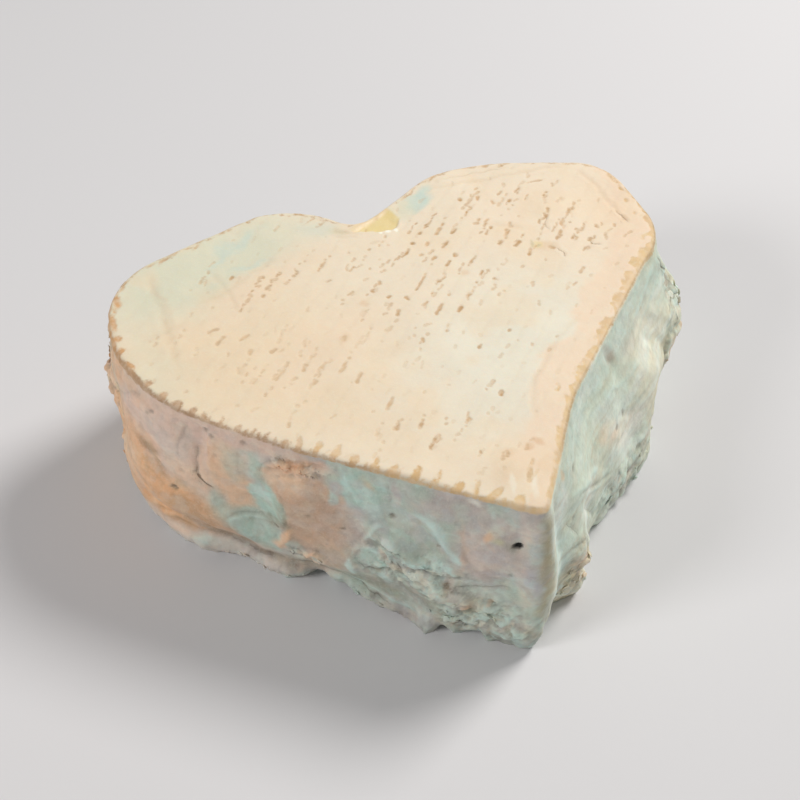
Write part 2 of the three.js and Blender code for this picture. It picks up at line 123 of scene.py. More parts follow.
# Marks that stand out: x, y, length, half width and turn from the rows in degrees.
MARKS = [
    (-45.4, 21.5, 3.2, .5, -35), (-45, 17.7, 4.2, .5, -4), (-39.7, 16.3, 3.4, .45, -16),
    (-45, 12.3, 1.4, .35, 20), (-40.1, 10.8, 2, .55, 10), (-35.1, 9.5, 2.4, .55, -18),
    (-36.2, 1.7, 4.4, .4, -2), (-30.5, 1.6, 2.6, .5, 10), (-26.3, .6, 2.4, .5, 2),
    (-30, -3.7, 1.7, .45, 0), (-22.4, -1.8, 4.2, .4, 2), (-20.6, -6.4, 4, .5, 5),
    (-19.1, 6.8, 2, .6, 10), (-17.2, -15.9, 4, .5, 8), (-18.3, -22.9, 2.2, .5, 0),
    (-13.4, -24.4, 1.4, .45, 0), (-12.9, -29.8, 3.4, .4, 0), (-2.9, -26.6, 1.6, .45, 5),
    (6.8, -22.8, 1.8, .4, 0), (8.3, -7.8, 1.4, .4, 15), (-2.7, -1, 1.9, .4, 45),
    (18.8, -26.4, 1.9, .35, 5), (-39.6, -13.1, 2, .4, 15), (-.1, -39.6, 1.6, .4, 10),
    (1.7, -46.6, 4.2, .45, 18), (3.9, -43.4, 2, .4, 10), (-4.9, -36.4, 1.2, .35, 40),
    (-35.8, 36.9, 1.8, .45, 5), (-42, 38, 2.6, .25, 20), (-34.9, 27.9, 1.6, .35, 5),
    (-33.8, 29.6, 1.2, .35, 5), (-30.9, 28, 1.4, .4, 10), (-28.9, 34.3, 1.3, .35, 10),
    (-26.3, 32.4, 1.2, .3, 0), (-24.5, 33.9, 1.3, .3, 0), (-28.2, 31, 1, .3, 0),
    (-14.3, 32.7, 2.5, .35, 5), (-8.3, 28.5, 2.4, .35, -5), (-4.3, 26.7, 1, .45, 0),
    (-4.3, 21.3, 1.5, .6, 30), (-6.8, 19.2, 1.3, .4, 60), (-4, 15.7, 1.6, .45, -15),
    (-.5, 13.5, 2, .5, 65), (-4.3, 9.7, 2.4, .55, 14), (2.1, 9.7, 1.2, .5, -60),
    (4.7, 17.3, 5.8, .35, 0), (7, 19.7, .9, .4, 0), (9, 16.3, 1.2, .45, 0), (5.7, 13, 1.3, .35, 20),
    (9.2, 10.8, 1.1, .4, 0), (5, 7.2, 4.2, .5, 2), (9.5, 5.4, 2.5, .55, 5), (5.7, 28.9, 4, .4, -6),
    (8.8, 31.5, 1.4, .5, 0), (12.1, 34.5, 1.5, .5, 0), (14.5, 36.7, 1.2, .45, -40),
    (16.3, 33.2, 3.1, .5, 0), (18.3, 35, 1.4, .35, 0), (20, 31.9, 2, .4, -8), (12, 30, 1.5, .45, 5),
    (16, 28, 3.3, .45, 0), (8.9, 26.8, 1.3, .45, -30), (11.3, 24.3, 2.1, .5, -8),
    (16.7, 23.7, 1.7, .6, 40), (13.7, 21.3, 2.7, .45, 0), (19.2, 20, 1.5, .35, 25),
    (19.7, 15.2, 2.4, .4, 8), (21.6, 12.2, 1.1, .4, 0), (17, 12.4, 1, .4, 0), (13.4, 9.3, 1.6, .4, 5),
    (26.4, 42.5, 1.7, .5, 10), (30.8, 41.3, 2.3, .5, 25), (27.4, 38.5, 1.4, .4, 75),
    (25.8, 37, 1, .35, 0), (33.6, 38.3, 1.7, .45, 50), (36.7, 41, 2.1, .4, -5),
    (41.3, 40.2, 2.4, .3, -15), (37.8, 37.2, 1.8, .45, 0), (42.2, 36.6, 2.4, .25, 0),
    (47.2, 41.4, 3.6, .25, -45), (46.5, 35.4, .9, .35, 0), (26.2, 32.4, 1.8, .45, -50),
    (27.4, 33.5, 1.3, .4, 0), (29, 29.6, 1.4, .45, 20), (27.2, 28.4, 2.4, .35, 5),
    (31.9, 27, 1.4, .4, 5), (31.5, 25.9, 1.7, .55, 5), (28.6, 23.8, 1.3, .5, 40),
    (32.3, 21.4, 2.6, .55, -12), (33.7, 17.7, 2.7, .5, 15), (39.2, 17.2, 2.2, .4, -90),
    (43.3, 27.7, 1.4, .4, 5), (43, 20.5, 4.2, .4, 5), (46.1, 24.6, 3.2, .45, 5),
    (48.6, 26.7, 1.8, .35, -5), (50.6, 28, 1.3, .3, 0), (45.8, 18.4, 1.5, .4, 5),
    (47.9, 20.6, 1.1, .4, 0), (46.5, 13.4, 1.7, .35, 0), (49.2, 16.2, 1.6, .35, 0),
    (53.3, 20.2, 1.1, .45, 0), (57.5, 18.4, .8, .35, 0),
]
# Rows of small marks: where each starts, how far it runs, how many marks it has and their strength.
MARK_ROWS = [
    # left lobe
    (-60, 22, 4, 2, .4), (-55.4, 20.6, 6, 4, .5), (-53, 15.4, 3, 2, .3), (-58, 5, 2, 1, .5),
    (-37.6, 25.2, 9.5, 6, .6), (-30.2, 29.8, 8, 6, .6), (-24.8, 29.6, 6.5, 5, .6),
    (-32.4, 31.6, 4, 3, .5), (-44, 38, 6, 3, .4), (-36, 14, 3, 2, .35), (-33.4, 12, 6, 4, .35),
    (-48.6, 8, 3, 2, .3), (-44.6, 5.6, 5, 3, .5), (-45, 2.6, 6, 3, .45), (-42.6, 1.6, 5, 3, .5),
    (-38.4, .6, 7, 5, .6), (-31, 5, 7, 4, .45), (-28.6, 3, 5, 3, .5), (-34, 8, 4, 2, .3),
    (-42, -3.4, 4, 2, .5), (-37, -3.6, 4.5, 3, .55), (-31.6, -4.6, 5, 3, .6), (-29, -2.4, 6, 4, .6),
    (-24.6, -4, 7.5, 4, .6), (-19.4, 1, 5, 3, .35), (-38, -11, 6, 3, .4), (-24, -23.4, 5, 3, .4),
    (-26, -29, 6, 3, .4), (-19.6, -23.8, 5, 3, .5), (-14.6, -25.2, 5, 3, .5), (-8.6, -26.4, 3, 2, .5),
    (-14, -31, 5, 3, .6), (-8.6, -31.6, 6, 4, .5), (-31, -15.6, 2, 1, .5),
    # middle
    (-16.4, 30.6, 7, 4, .5), (-20, 34, 6, 3, .35), (-10, 28.2, 5, 3, .5), (-6, 30, 6, 3, .35),
    (-16, 17, 6, 3, .4), (-9, 18, 5, 3, .5), (-16, 3.6, 6, 4, .35), (-10, 4.6, 6, 3, .35),
    (-6, .4, 5, 3, .4), (-3.4, -1.6, 4, 2, .4), (-8, 10, 5, 3, .35), (-2.6, 24.6, 6, 3, .4),
    (-14, 10, 6, 3, .25), (-9, -8, 8, 3, .25), (-20, -12, 8, 3, .25), (0, 33, 6, 3, .4),
    (1, 25.6, 6, 4, .5), (8, 23.6, 6, 4, .5), (7.4, 14.6, 6, 4, .4), (13.6, 16.6, 5, 3, .5),
    (17.6, 18.6, 5, 3, .5), (4.8, 11, 6, 4, .4), (12, 7.6, 6, 4, .45), (16.4, 10.8, 8, 5, .4),
    (19, 8.4, 5, 3, .4), (1.2, 8.8, 3, 2, .45), (20, 6, 3, 2, .4), (23, 14, 6, 3, .3),
    (9, 35.6, 5, 3, .5), (13.4, 35.4, 7, 4, .5), (18.6, 31, 5, 3, .5), (22.6, 34.4, 6, 3, .4),
    # right lobe
    (25, 38, 8, 5, .45), (28, 41, 7, 4, .45), (34, 36, 6, 4, .5), (36, 33.6, 5, 3, .4),
    (44, 41.6, 5, 2, .4), (40, 38.4, 7, 3, .4), (45.6, 34.6, 4, 2, .45), (50, 38, 3, 2, .4),
    (25.4, 28.4, 6, 4, .6), (30.6, 25, 6, 4, .55), (28, 22.6, 4, 3, .5), (31, 20.6, 6, 4, .55),
    (32.6, 16.8, 5, 3, .6), (37, 21, 7, 4, .4), (40.6, 25.4, 6, 4, .6), (41.6, 22, 6, 4, .5),
    (42, 19, 8, 6, .55), (45, 23.4, 7, 5, .55), (45.6, 17.2, 7, 5, .55), (47, 13, 6, 4, .5),
    (49.4, 27, 4, 3, .5), (47.6, 31, 4, 2, .35), (53, 19.6, 3, 2, .5), (52, 14.6, 6, 3, .35),
    (57, 13, 4, 2, .45), (56.8, 18, 2, 1, .5), (40.8, 5.8, 3, 2, .4), (36, 1.4, 4, 2, .3),
    # toward the point
    (28, 5.8, 3, 2, .4), (3, -.4, 3, 2, .4), (8, -8.2, 2, 1, .6), (16, -6, 2, 1, .5),
    (11, -13, 6, 2, .25), (3.6, -21.4, 5, 3, .35), (6.2, -23, 2, 1, .5), (-4, -27.6, 4, 2, .5),
    (1, -27.6, 3, 2, .4), (17.6, -26.8, 3, 2, .4), (24, -23, 3, 1, .3), (-1.6, -40.4, 3, 2, .5),
    (4, -40, 4, 3, .5), (-6, -37.6, 3, 2, .4), (.6, -48.2, 4, 4, .8), (-9.6, -43.6, 3, 2, .3),
]
ROW_MARKS = {"seed": 8, "length": (0.6, 2.1), "half": (0.26, 0.42), "stray": 0.3}
FAINT_MARKS = {"seed": 5, "gap": (3.0, 12.0), "length": (0.6, 2.4), "half": (0.22, 0.38), "stray": 0.25}

# Colour fields of the top: place, reach, turn in degrees, colour, strength, softness of edge.
TOP_FIELDS = [
    (-45, 12, 28, 21, -15, "warm ivory", .9, .8), (-20, -26, 24, 8, -42, "warm ivory", .4, .8),
    (-42, 43, 29, 13, 14, "mint ivory", .95, .5), (-61, 14, 6, 13, 8, "mint ivory", .4, .7),
    (-29, 33, 15, 4.5, 26, "peach", .6, .7), (-26, 6, 14, 9, 20, "peach", .35, .8),
    (16, -8, 27, 16, 42, "pale mint", .95, .6), (42, 26, 18, 20, 0, "peach", .3, .7),
    (60, 24, 6, 15, -6, "peach", .5, .6), (-54.5, 35, .9, 9, -3, "vein", .45, .8),
    (-28, 51, 4, 1.6, 10, "blue mint", .6, .7), (-34, 46.6, 6, 1, 32, "blue mint", .6, .7),
    (-30, 40.2, 4, 1, 5, "blue mint", .6, .7), (17.6, 46.4, 4.4, 2, 40, "blue mint", 1, .5),
    (5.4, -39.3, 1.3, .9, 20, "rust", .5, .6), (8, -38.6, .8, 1.2, 10, "rust", .45, .6),
    (-.6, -44, 5, 3.4, 30, "rust", .22, .8), (.6, -39, 1.4, 1.2, 0, "sand", .5, .6),
    (-10.3, 16, 1.2, 1, 0, "rust", .3, .6), (15.7, 16.8, 1, .9, 30, "rust", .28, .7),
    (13.4, 9.3, 1.2, .8, 30, "rust", .25, .7), (-19.1, 6.8, 1.5, 1.1, 30, "sand", .5, .6),
    (38.4, 18, 2.4, 1.5, -25, "sand", .55, .6), (36.6, 19.3, 1.3, 1.1, 0, "bare paste", .75, .5),
    (35.6, 20, .35, 1.1, -15, "olive", .8, .5), (36.8, 18.9, .5, .35, 30, "olive", .9, .5),
    (7.4, -45.4, 1, 4, -20, "rust", .5, .7), (3.5, 38.6, .45, .6, 0, "dot", 1, .4),
    (5.2, 38, .65, .6, 0, "dot", 1, .4), (7.2, 38.2, .55, .7, -10, "dot", 1, .4),
    (9.6, 42.6, .7, .5, 40, "dot", .7, .5), (-2.5, -47.2, .6, 2.6, -22, "white", .8, .5),
    (1.5, -49.2, .7, 3.4, -22, "white", .8, .5), (13.2, 45, 4.4, 2.4, 34, "mint ivory", .7, .6),
    (-10.5, 46.5, 5, 3, -35, "blue mint", .35, .7), (-6, 42.8, 2.6, 1, -35, "olive cream", .5, .6),
]
PEACH_BAND = {"path": [(6, -43), (21, -21.5), (36, -8), (52, 5.5), (60, 15), (62, 26)], "half": 4.6}

# The place in the cleft where the rind is missing.
BARE_BOTTOM = 40.9     # its lower edge where x is 0
BARE_FALL = 0.37       # how steeply that edge falls to the right
BARE_CURL = 0.13       # and how strongly it bends up again
BARE_RIGHT = 10.6      # its right edge at the lower edge's height
BARE_LEAN = 0.30       # how far that edge leans to the left
BARE_STRAIGHT = 4.0    # where it starts to bend
BARE_CORNER = (-4.0, 41.6)   # where its upper edge starts
BARE_RISE = 0.50       # how steeply that edge rises to the right
BARE_ROUND = 0.7       # rounding of its corners
BARE_DROP = 0.5        # how deep it lies

# Fine cracks of the top: half width, drop and path.
TOP_CRACKS = [
    (.55, .16, [(19, 49.8), (29.7, 48.4), (42.6, 46.3), (52, 45.4), (58, 43.4)]),
    (.45, .1, [(24, 51.5), (33, 51), (44, 49.2)]),
    (.6, .14, [(58.5, 43), (60.6, 36), (60.8, 28), (61.2, 21)]), (.3, .22, [(60.7, 24.5), (61.2, 17.7)]),
    (.7, .12, [(28, 32.4), (30.6, 29.8), (34, 27.2), (36.6, 25.4)]),
    (.32, .2, [(40.2, 16.6), (40.8, 14.2), (40.6, 12.2)]),
    (.34, .15, [(43.6, 28.6), (42.2, 26.4), (41.5, 24.4), (41.9, 22.6)]),
    (.28, .2, [(49, 16), (49.4, 14.1), (51.6, 13.1)]),
    (.55, .18, [(-7.4, 44.4), (-6.2, 42.9), (-4, 41.2), (-1.6, 40.7)]),
    (.55, .12, [(-8, 41.8), (-5, 40.2), (-2, 39)]),
    (.9, .16, [(-53.4, 47), (-54.4, 36), (-55.2, 24), (-57, 11)]),
    (.6, .1, [(-40, 42), (-38.4, 33), (-37.8, 24)]),
    (.7, .1, [(-47, 31), (-38, 33), (-30, 37.5), (-22, 40)]),
    (.55, .08, [(-63, 24), (-57, 25), (-50, 26.4)]), (.6, .1, [(9, -34), (15, -22), (26, -12), (38, -4)]),
]

# ---- The rim ----

# Width of the ochre crust on the top's edge, and how far it runs down the wall, by along.
CRUST_STATIONS = [
    (-197, .2, .4), (-165, .3, .4), (-130, .4, .5), (-118, .9, .8), (-100, .9, .9), (-92, .4, .6),
    (-80, .25, .6), (-62, .2, .6), (-45, .15, .5), (-20, .3, .5), (-10, .6, .5), (0, .9, .5),
    (10, 1.1, .4), (24, 1.4, .4), (38, 1.6, .4), (52, 1.4, .4), (66, 2, .4), (82, 2.3, .5),
    (97, 2.2, .5), (106, 1.4, .5), (112, .6, .4), (150, .3, .3), (196, .2, .4),
]
# Colour of the crust and of what shows where the bloom is gone: along, reach and colour.
CRUST_TONES = [
    (-150, 40, "mark"), (-112, 20, "rust"), (-72, 26, "brown stain and shade"), (-26, 30, "ochre"), (45, 62, "crust"),
    (118, 16, "ochre"), (160, 40, "mark"),
]
# Chips of bare crust: along, distance in from the rim, half length, half width, turn.
CHIPS = [
    (-124.7, 1.7, 2.5, .9, 15), (-117, 1.2, 3.2, 1, 5), (-111.3, 1.5, 1.2, 1, 30),
    (-107.1, 1.1, 1, 1.2, 30), (-101.9, 1.2, 1.9, .9, 10), (-94.3, 1.2, 1.1, .9, 40),
    (-144, 1.9, 1.5, .7, 25), (-147, .8, 1.2, .4, 0), (-153.4, 2, 1.1, .3, 30), (-155, .9, 1, .3, 0),
    (-164.6, .6, 2, .45, 0), (-170, .9, 1, .35, 0), (-186, 2.4, 1.6, .3, 60),
    (-189.5, 3.2, 1.4, .35, 70), (179.5, 1.4, 2.6, .4, 0), (171.1, 1.4, 1.2, .4, 10),
    (167.6, 1.3, 1, .4, 0), (159.4, .7, 1.3, .4, 0), (154.8, 1.2, 1.2, .7, 20),
    (150.8, 1.6, 1.2, .4, 20), (145, .6, 1, .35, 0), (138.6, .7, 1.6, .45, 0), (134.5, .9, .7, .4, 0),
    (121.3, .6, 1.2, .4, 0), (116.9, 1.8, .7, .5, 20), (111.9, .9, .8, .6, 0), (109.4, 2.7, .8, .5, 0),
    (103.9, 3.5, 1.1, .6, 0),
]
# Teeth at the ends of the mat's rows: along, length, half width and turn in degrees.
TEETH = [
    (-93.9, 2.4, .8, -15), (-88.3, 2.6, .9, 10), (-84.2, 2.4, 1, 5), (-80.6, 2.6, .8, -10),
    (-77.2, 2.4, .7, 10), (-73, 2.6, .6, 15), (-68.5, 2.2, .5, 5), (-65, 2, .6, 0), (-61.4, 2.2, .5, 10),
    (-57.8, 1.9, .7, 5), (-54.2, 3.8, .7, 20), (-50.1, 3.8, .9, 8), (-46.2, 4.4, .8, -2),
    (-41.9, 3, .9, -4), (-37.6, 3.9, .8, -6), (-33.1, 2.9, 1, -2), (-28.1, 3.8, .9, 4),
    (-23.2, 4.2, .45, 6), (-19.4, 3.2, 1.1, -20), (-14.8, 4.6, .6, 10), (-11.3, 4.2, 1.2, -8),
    (-5.7, 3.2, 1.1, -6),
]
SMALL_TEETH = {"from": -92.0, "to": -4.0, "gap": (1.2, 2.8), "length": (0.6, 1.6), "seed": 12}
# Small brown chips that follow the back of the rim.
SPECKS = {"seed": 61, "from": 112.0, "to": 278.0, "gap": (0.8, 3.6), "depth": (0.3, 1.6),
          "long": (0.4, 1.5), "wide": (0.22, 0.5)}

# ---- The wall ----

# Colour fields: place, reach, turn in degrees, colour, strength, softness of edge.
WALL_FIELDS = [
    # far left and cheek
    (-124, 26, 26, 28, 0, "far tan", 1, .5), (-87, 37, 20, 13, -8, "lavender", 1, .35),
    (-107, 45, 5, 5, -20, "far tan", .8, .6), (-98, 45, 5, 3, -10, "far tan", .45, .6),
    (-68, 45.5, 14, 3.4, 0, "lavender", .95, .4), (-96, 15, 25, 12.5, -12, "cheek", 1, .25),
    (-99, 28, 9, 5, -25, "cheek", .7, .5), (-94, 29.4, 3, 1.4, -5, "brown stain and shade", .9, .6),
    (-98, 31, 2, 1.2, 10, "brown stain and shade", .4, .6), (-90, 26, 3.4, .9, -40, "brown stain and shade", .5, .6),
    (-96, 33, 5, 1.6, -20, "far tan", .5, .6), (-104, 20, 6, 3, 20, "sand", .4, .6),
    (-82, 28, 6, 4, -25, "blush", .7, .6), (-88, 36, 6, 4, -25, "lip", .4, .6),
    # The brown at (-80, 14.5) on the next line is painted shade above the foot's groove.
    (-102, 19, 6, 6, -10, "blush", .5, .6), (-80, 14.5, 9, 4.5, -14, "brown stain and shade", .5, .6),
    (-75.5, 22.5, 2.2, 4, 10, "grey mint", .7, .5), (-71.5, 31, 5.4, 11, 8, "wall peach", .95, .3),
    (-70, 36, 3, 4, 0, "grey mint", .5, .6), (-76.6, 36, .9, 5, 0, "far tan", .5, .6),
    (-67, 16.5, 6.4, 5, -30, "grey mint", .9, .35), (-66.5, 14, 3.6, 4.4, -40, "mint", .75, .4),
    (-64.9, 38, 1.5, 4, 5, "mint", .55, .5), (-64, 10.6, 3.6, 2.2, -25, "mint", .6, .4),
    # flap and column
    (-53, 31, 8.5, 14.5, 0, "column", 1, .25), (-62.6, 27.4, 4.4, 6.2, 28, "mint", .95, .15),
    (-63.8, 29.6, 2.8, 2.8, 0, "bright mint", .6, .4), (-61.6, 20.8, 3.6, 1.6, 25, "olive grey", .7, .5),
    (-58.4, 24, 1.3, 4.4, 14, "olive grey", .65, .6), (-49, 20, 7, 13, 0, "column", .8, .4),
    (-57, 38, 6, 4.5, 25, "wall peach", .8, .5), (-54, 42.2, 6.6, 2.2, 16, "orange", .95, .4),
    # The light peach at (-60.6, 37.2) and (-54.5, 39.8) is painted highlight on the flap's crumbling
    # edge.
    (-60.5, 39.6, 4, 1.4, 40, "orange", .5, .5), (-60.6, 37.2, 1.8, 3.2, -20, "blush", .9, .5),
    (-54.5, 39.8, 3, 1.2, 20, "blush", .8, .5), (-50, 43.6, 4, 1.6, 8, "orange", .8, .5),
    (-58.6, 16.5, 1.1, 4.5, -25, "far tan", .95, .5), (-60.4, 12.8, 2.2, 1.4, 0, "wall peach", .8, .5),
    (-52.5, 11.8, 3, 1.8, -10, "orange", .6, .5), (-56, 14, 2.4, 2.4, 0, "grey mint", .6, .5),
    (-50.4, 12, 1.8, 1.2, 0, "white", .7, .5),
    # mint patches beside the column
    (-40.8, 40, 6.4, 6, -15, "mint", .95, .35), (-47, 35.5, 1, 2, -10, "bright mint", .8, .5),
    (-45.4, 38.3, 1.6, 2.4, 0, "mauve", .9, .5), (-44.6, 34.6, 1.2, 2, 0, "wall peach", .6, .5),
    (-39.8, 38.5, 1.8, 4, 20, "bright mint", .65, .5), (-38.6, 42, .8, 2.6, 24, "sand", .6, .6),
    (-42.4, 14, 1, 2.6, 5, "bright mint", .9, .4),
    # crumbly middle
    (-29, 30, 10, 13, 0, "grey mint", .95, .35), (-32, 42, 1.2, 4, 6, "mauve", .9, .5),
    (-35.6, 43, 1.4, 2.6, 0, "bright mint", .45, .5), (-23.5, 41, 3.4, 3, 0, "mauve", .5, .6),
    (-36.5, 18.5, 4, 3.6, -20, "mint", .8, .35), (-27, 23.2, 3.4, 1.6, 10, "bright mint", .7, .45),
    # The brown at (-31.3, 18.6) on the next line is painted shade where plates meet.
    (-27.5, 18.5, 2.6, 2, 10, "bright mint", .55, .45), (-31.3, 18.6, 1.4, 1.6, 0, "brown stain and shade", .45, .6),
    (-20, 23.6, 3, 2.6, -30, "bright mint", .5, .5), (-16, 17, 3, 3, 0, "mint", .5, .5),
    # near the point
    (-11, 32.5, 7.6, 11.5, 0, "mauve", 1, .3), (-12, 31, 3.6, 7.5, 8, "lavender", .3, .5),
    (-43.4, 41, 1, 3.6, 5, "bright mint", .6, .5), (-36.6, 36, 1.2, 3.4, 20, "bright mint", .4, .5),
    (-33, 27.4, 2.2, 1, 10, "milk", .8, .4), (-24.9, 37, 2.6, 1.9, -40, "bright mint", .85, .5),
    (-22, 33, 1.3, 3.6, 22, "bright mint", .8, .5), (-18.4, 28, 2.6, 1.2, -30, "bright mint", .7, .6),
    (-16.4, 32, .9, 7, 6, "column", .5, .6), (-17.5, 42, 1.6, 3, 0, "cool mint", .4, .6),
    (-14.6, 46, 1.6, .9, 0, "white", .8, .5), (-9.4, 38.8, 1.2, 2.6, -20, "cream", .5, .6),
    (-8, 36.4, 1.3, 1.1, 0, "olive cream", .9, .5), (-10.4, 37.4, 1.1, .9, 0, "cheek", .55, .6),
    (-12, 12, 10, 7, 0, "olive cream", .65, .5), (-14.3, 13.9, 1.5, 1.1, 30, "ochre", .85, .5),
    (-8, 15.8, 1.1, .8, 20, "ochre", .8, .5), (-5.8, 10.6, 1.6, .9, 20, "brown stain and shade", .55, .5),
    # The brown at (-19, 19) on the next line is painted shade.
    (-19, 19, 1.2, 1.8, 0, "brown stain and shade", .7, .6), (-3.5, 15, 3, 6, 0, "grey mint", .6, .5),
    (-4.8, 35.7, 2, 1.4, 15, "olive grey", .5, .8), (-10, 5, 8, 3.6, 0, "grey mint", .6, .5),
    # foot of the left side; the trough at (-32, 9.6) is partly painted shade, and the browns at
    # (-78, 11), (-70, 8), (-56, 6.8) and (-46, 8.6) are painted shade along and under the groove
    (-32, 9.6, 12, 3.4, 6, "trough", 1, .35), (-78, 11, 12, 1.6, -8, "brown stain and shade", .45, .6),
    (-82, 3.8, 24, 4.6, 0, "lip", .9, .3), (-88, 6.4, 8, 1.2, 0, "blush", .6, .5),
    (-70, 8, 13, 1.2, -12, "shade brown", .75, .6), (-56, 6.8, 7, 1.3, 0, "shade brown", .6, .6),
    (-46, 8.6, 9, 1.2, 0, "olive grey", .6, .6), (-80, 5.8, 4, 1.6, 0, "bright mint", .35, .6),
    (-35, 2, 9, 2.6, 8, "lip", .5, .4), (-24.3, 2, 1.8, 5, 0, "milk", .7, .4),
    # right side
    (-2, 30, 1.4, 12, 4, "lavender", .45, .6), (4.6, 22, 1.8, 20, -3, "olive cream", .35, .5),
    (9, 36, 3.4, 11, -8, "milk", .75, .45), (6, 26, 1.7, 14, -3, "milk", .75, .5),
    (1.3, 30, 1, 18, -1, "olive", .9, .5), (-.8, 27, .9, 6, 4, "blue grey", .6, .5),
    (8.6, 22, 3.4, 12, -4, "bright mint", .55, .5), (30, 44, 22, 3.4, 0, "cool mint", .8, .5),
    (70, 43.5, 22, 4, 0, "cool mint", .7, .5), (13.4, 44.2, 1.1, 1.2, 0, "sand", .7, .5),
    (15.5, 13, 6, 10, -8, "olive cream", .9, .3), (15, 10, 5, 10, -6, "cream", .95, .3),
    (15, 9, 5, 9, -6, "bare paste", .55, .35), (15, 17, 3.4, 1.6, 0, "ochre", .3, .5),
    (26, 13, 4, 5, -10, "olive grey", .35, .5), (25, 23.5, 4, 3.5, 0, "white", .5, .5),
    (75, 13, 5, 5, -30, "brown stain and shade", .35, .5), (44, 29, 7, 3, -25, "cream", .9, .4),
    (51, 25, 7, 4.2, -20, "cream", .95, .4), (40, 31, 2.6, 1.6, 0, "wall peach", .35, .6),
    (52, 23, 10, 5, -10, "milk", .7, .6), (47, 28, 5.5, 2.6, -25, "cream", .9, .4),
    (45, 28.4, 2.8, 1.4, 0, "blush", .5, .5), (25, 24, 6, 7, -10, "milk", .6, .6),
    (46, 34, 7, 4, -10, "milk", .4, .6), (51, 9.5, 10, 4.6, 3, "wrinkle", .7, .5),
    (73, 28, 15, 13, -35, "cream", .75, .5), (66, 40, 8, 3.4, -10, "pale mint", .6, .5),
    (66, 15, 6, 8, -30, "olive cream", .6, .5), (87, 24, 8, 9, -40, "olive cream", .7, .5),
    (54.4, 43.6, 1.7, 2, 0, "brown stain and shade", .55, .6), (54, 23, 5.5, 4, -10, "white", .6, .5),
    (50, 25, 6, 3.6, -25, "dot", .6, .5), (65, 43, 5, 3, 0, "grey mint", .5, .5),
    (94, 36, 4, 8, -10, "olive cream", .8, .4), (89, 17, 4, 9, -25, "far tan", .6, .5),
    (107, 20, 9, 19, 0, "cool mint", .7, .5),
]
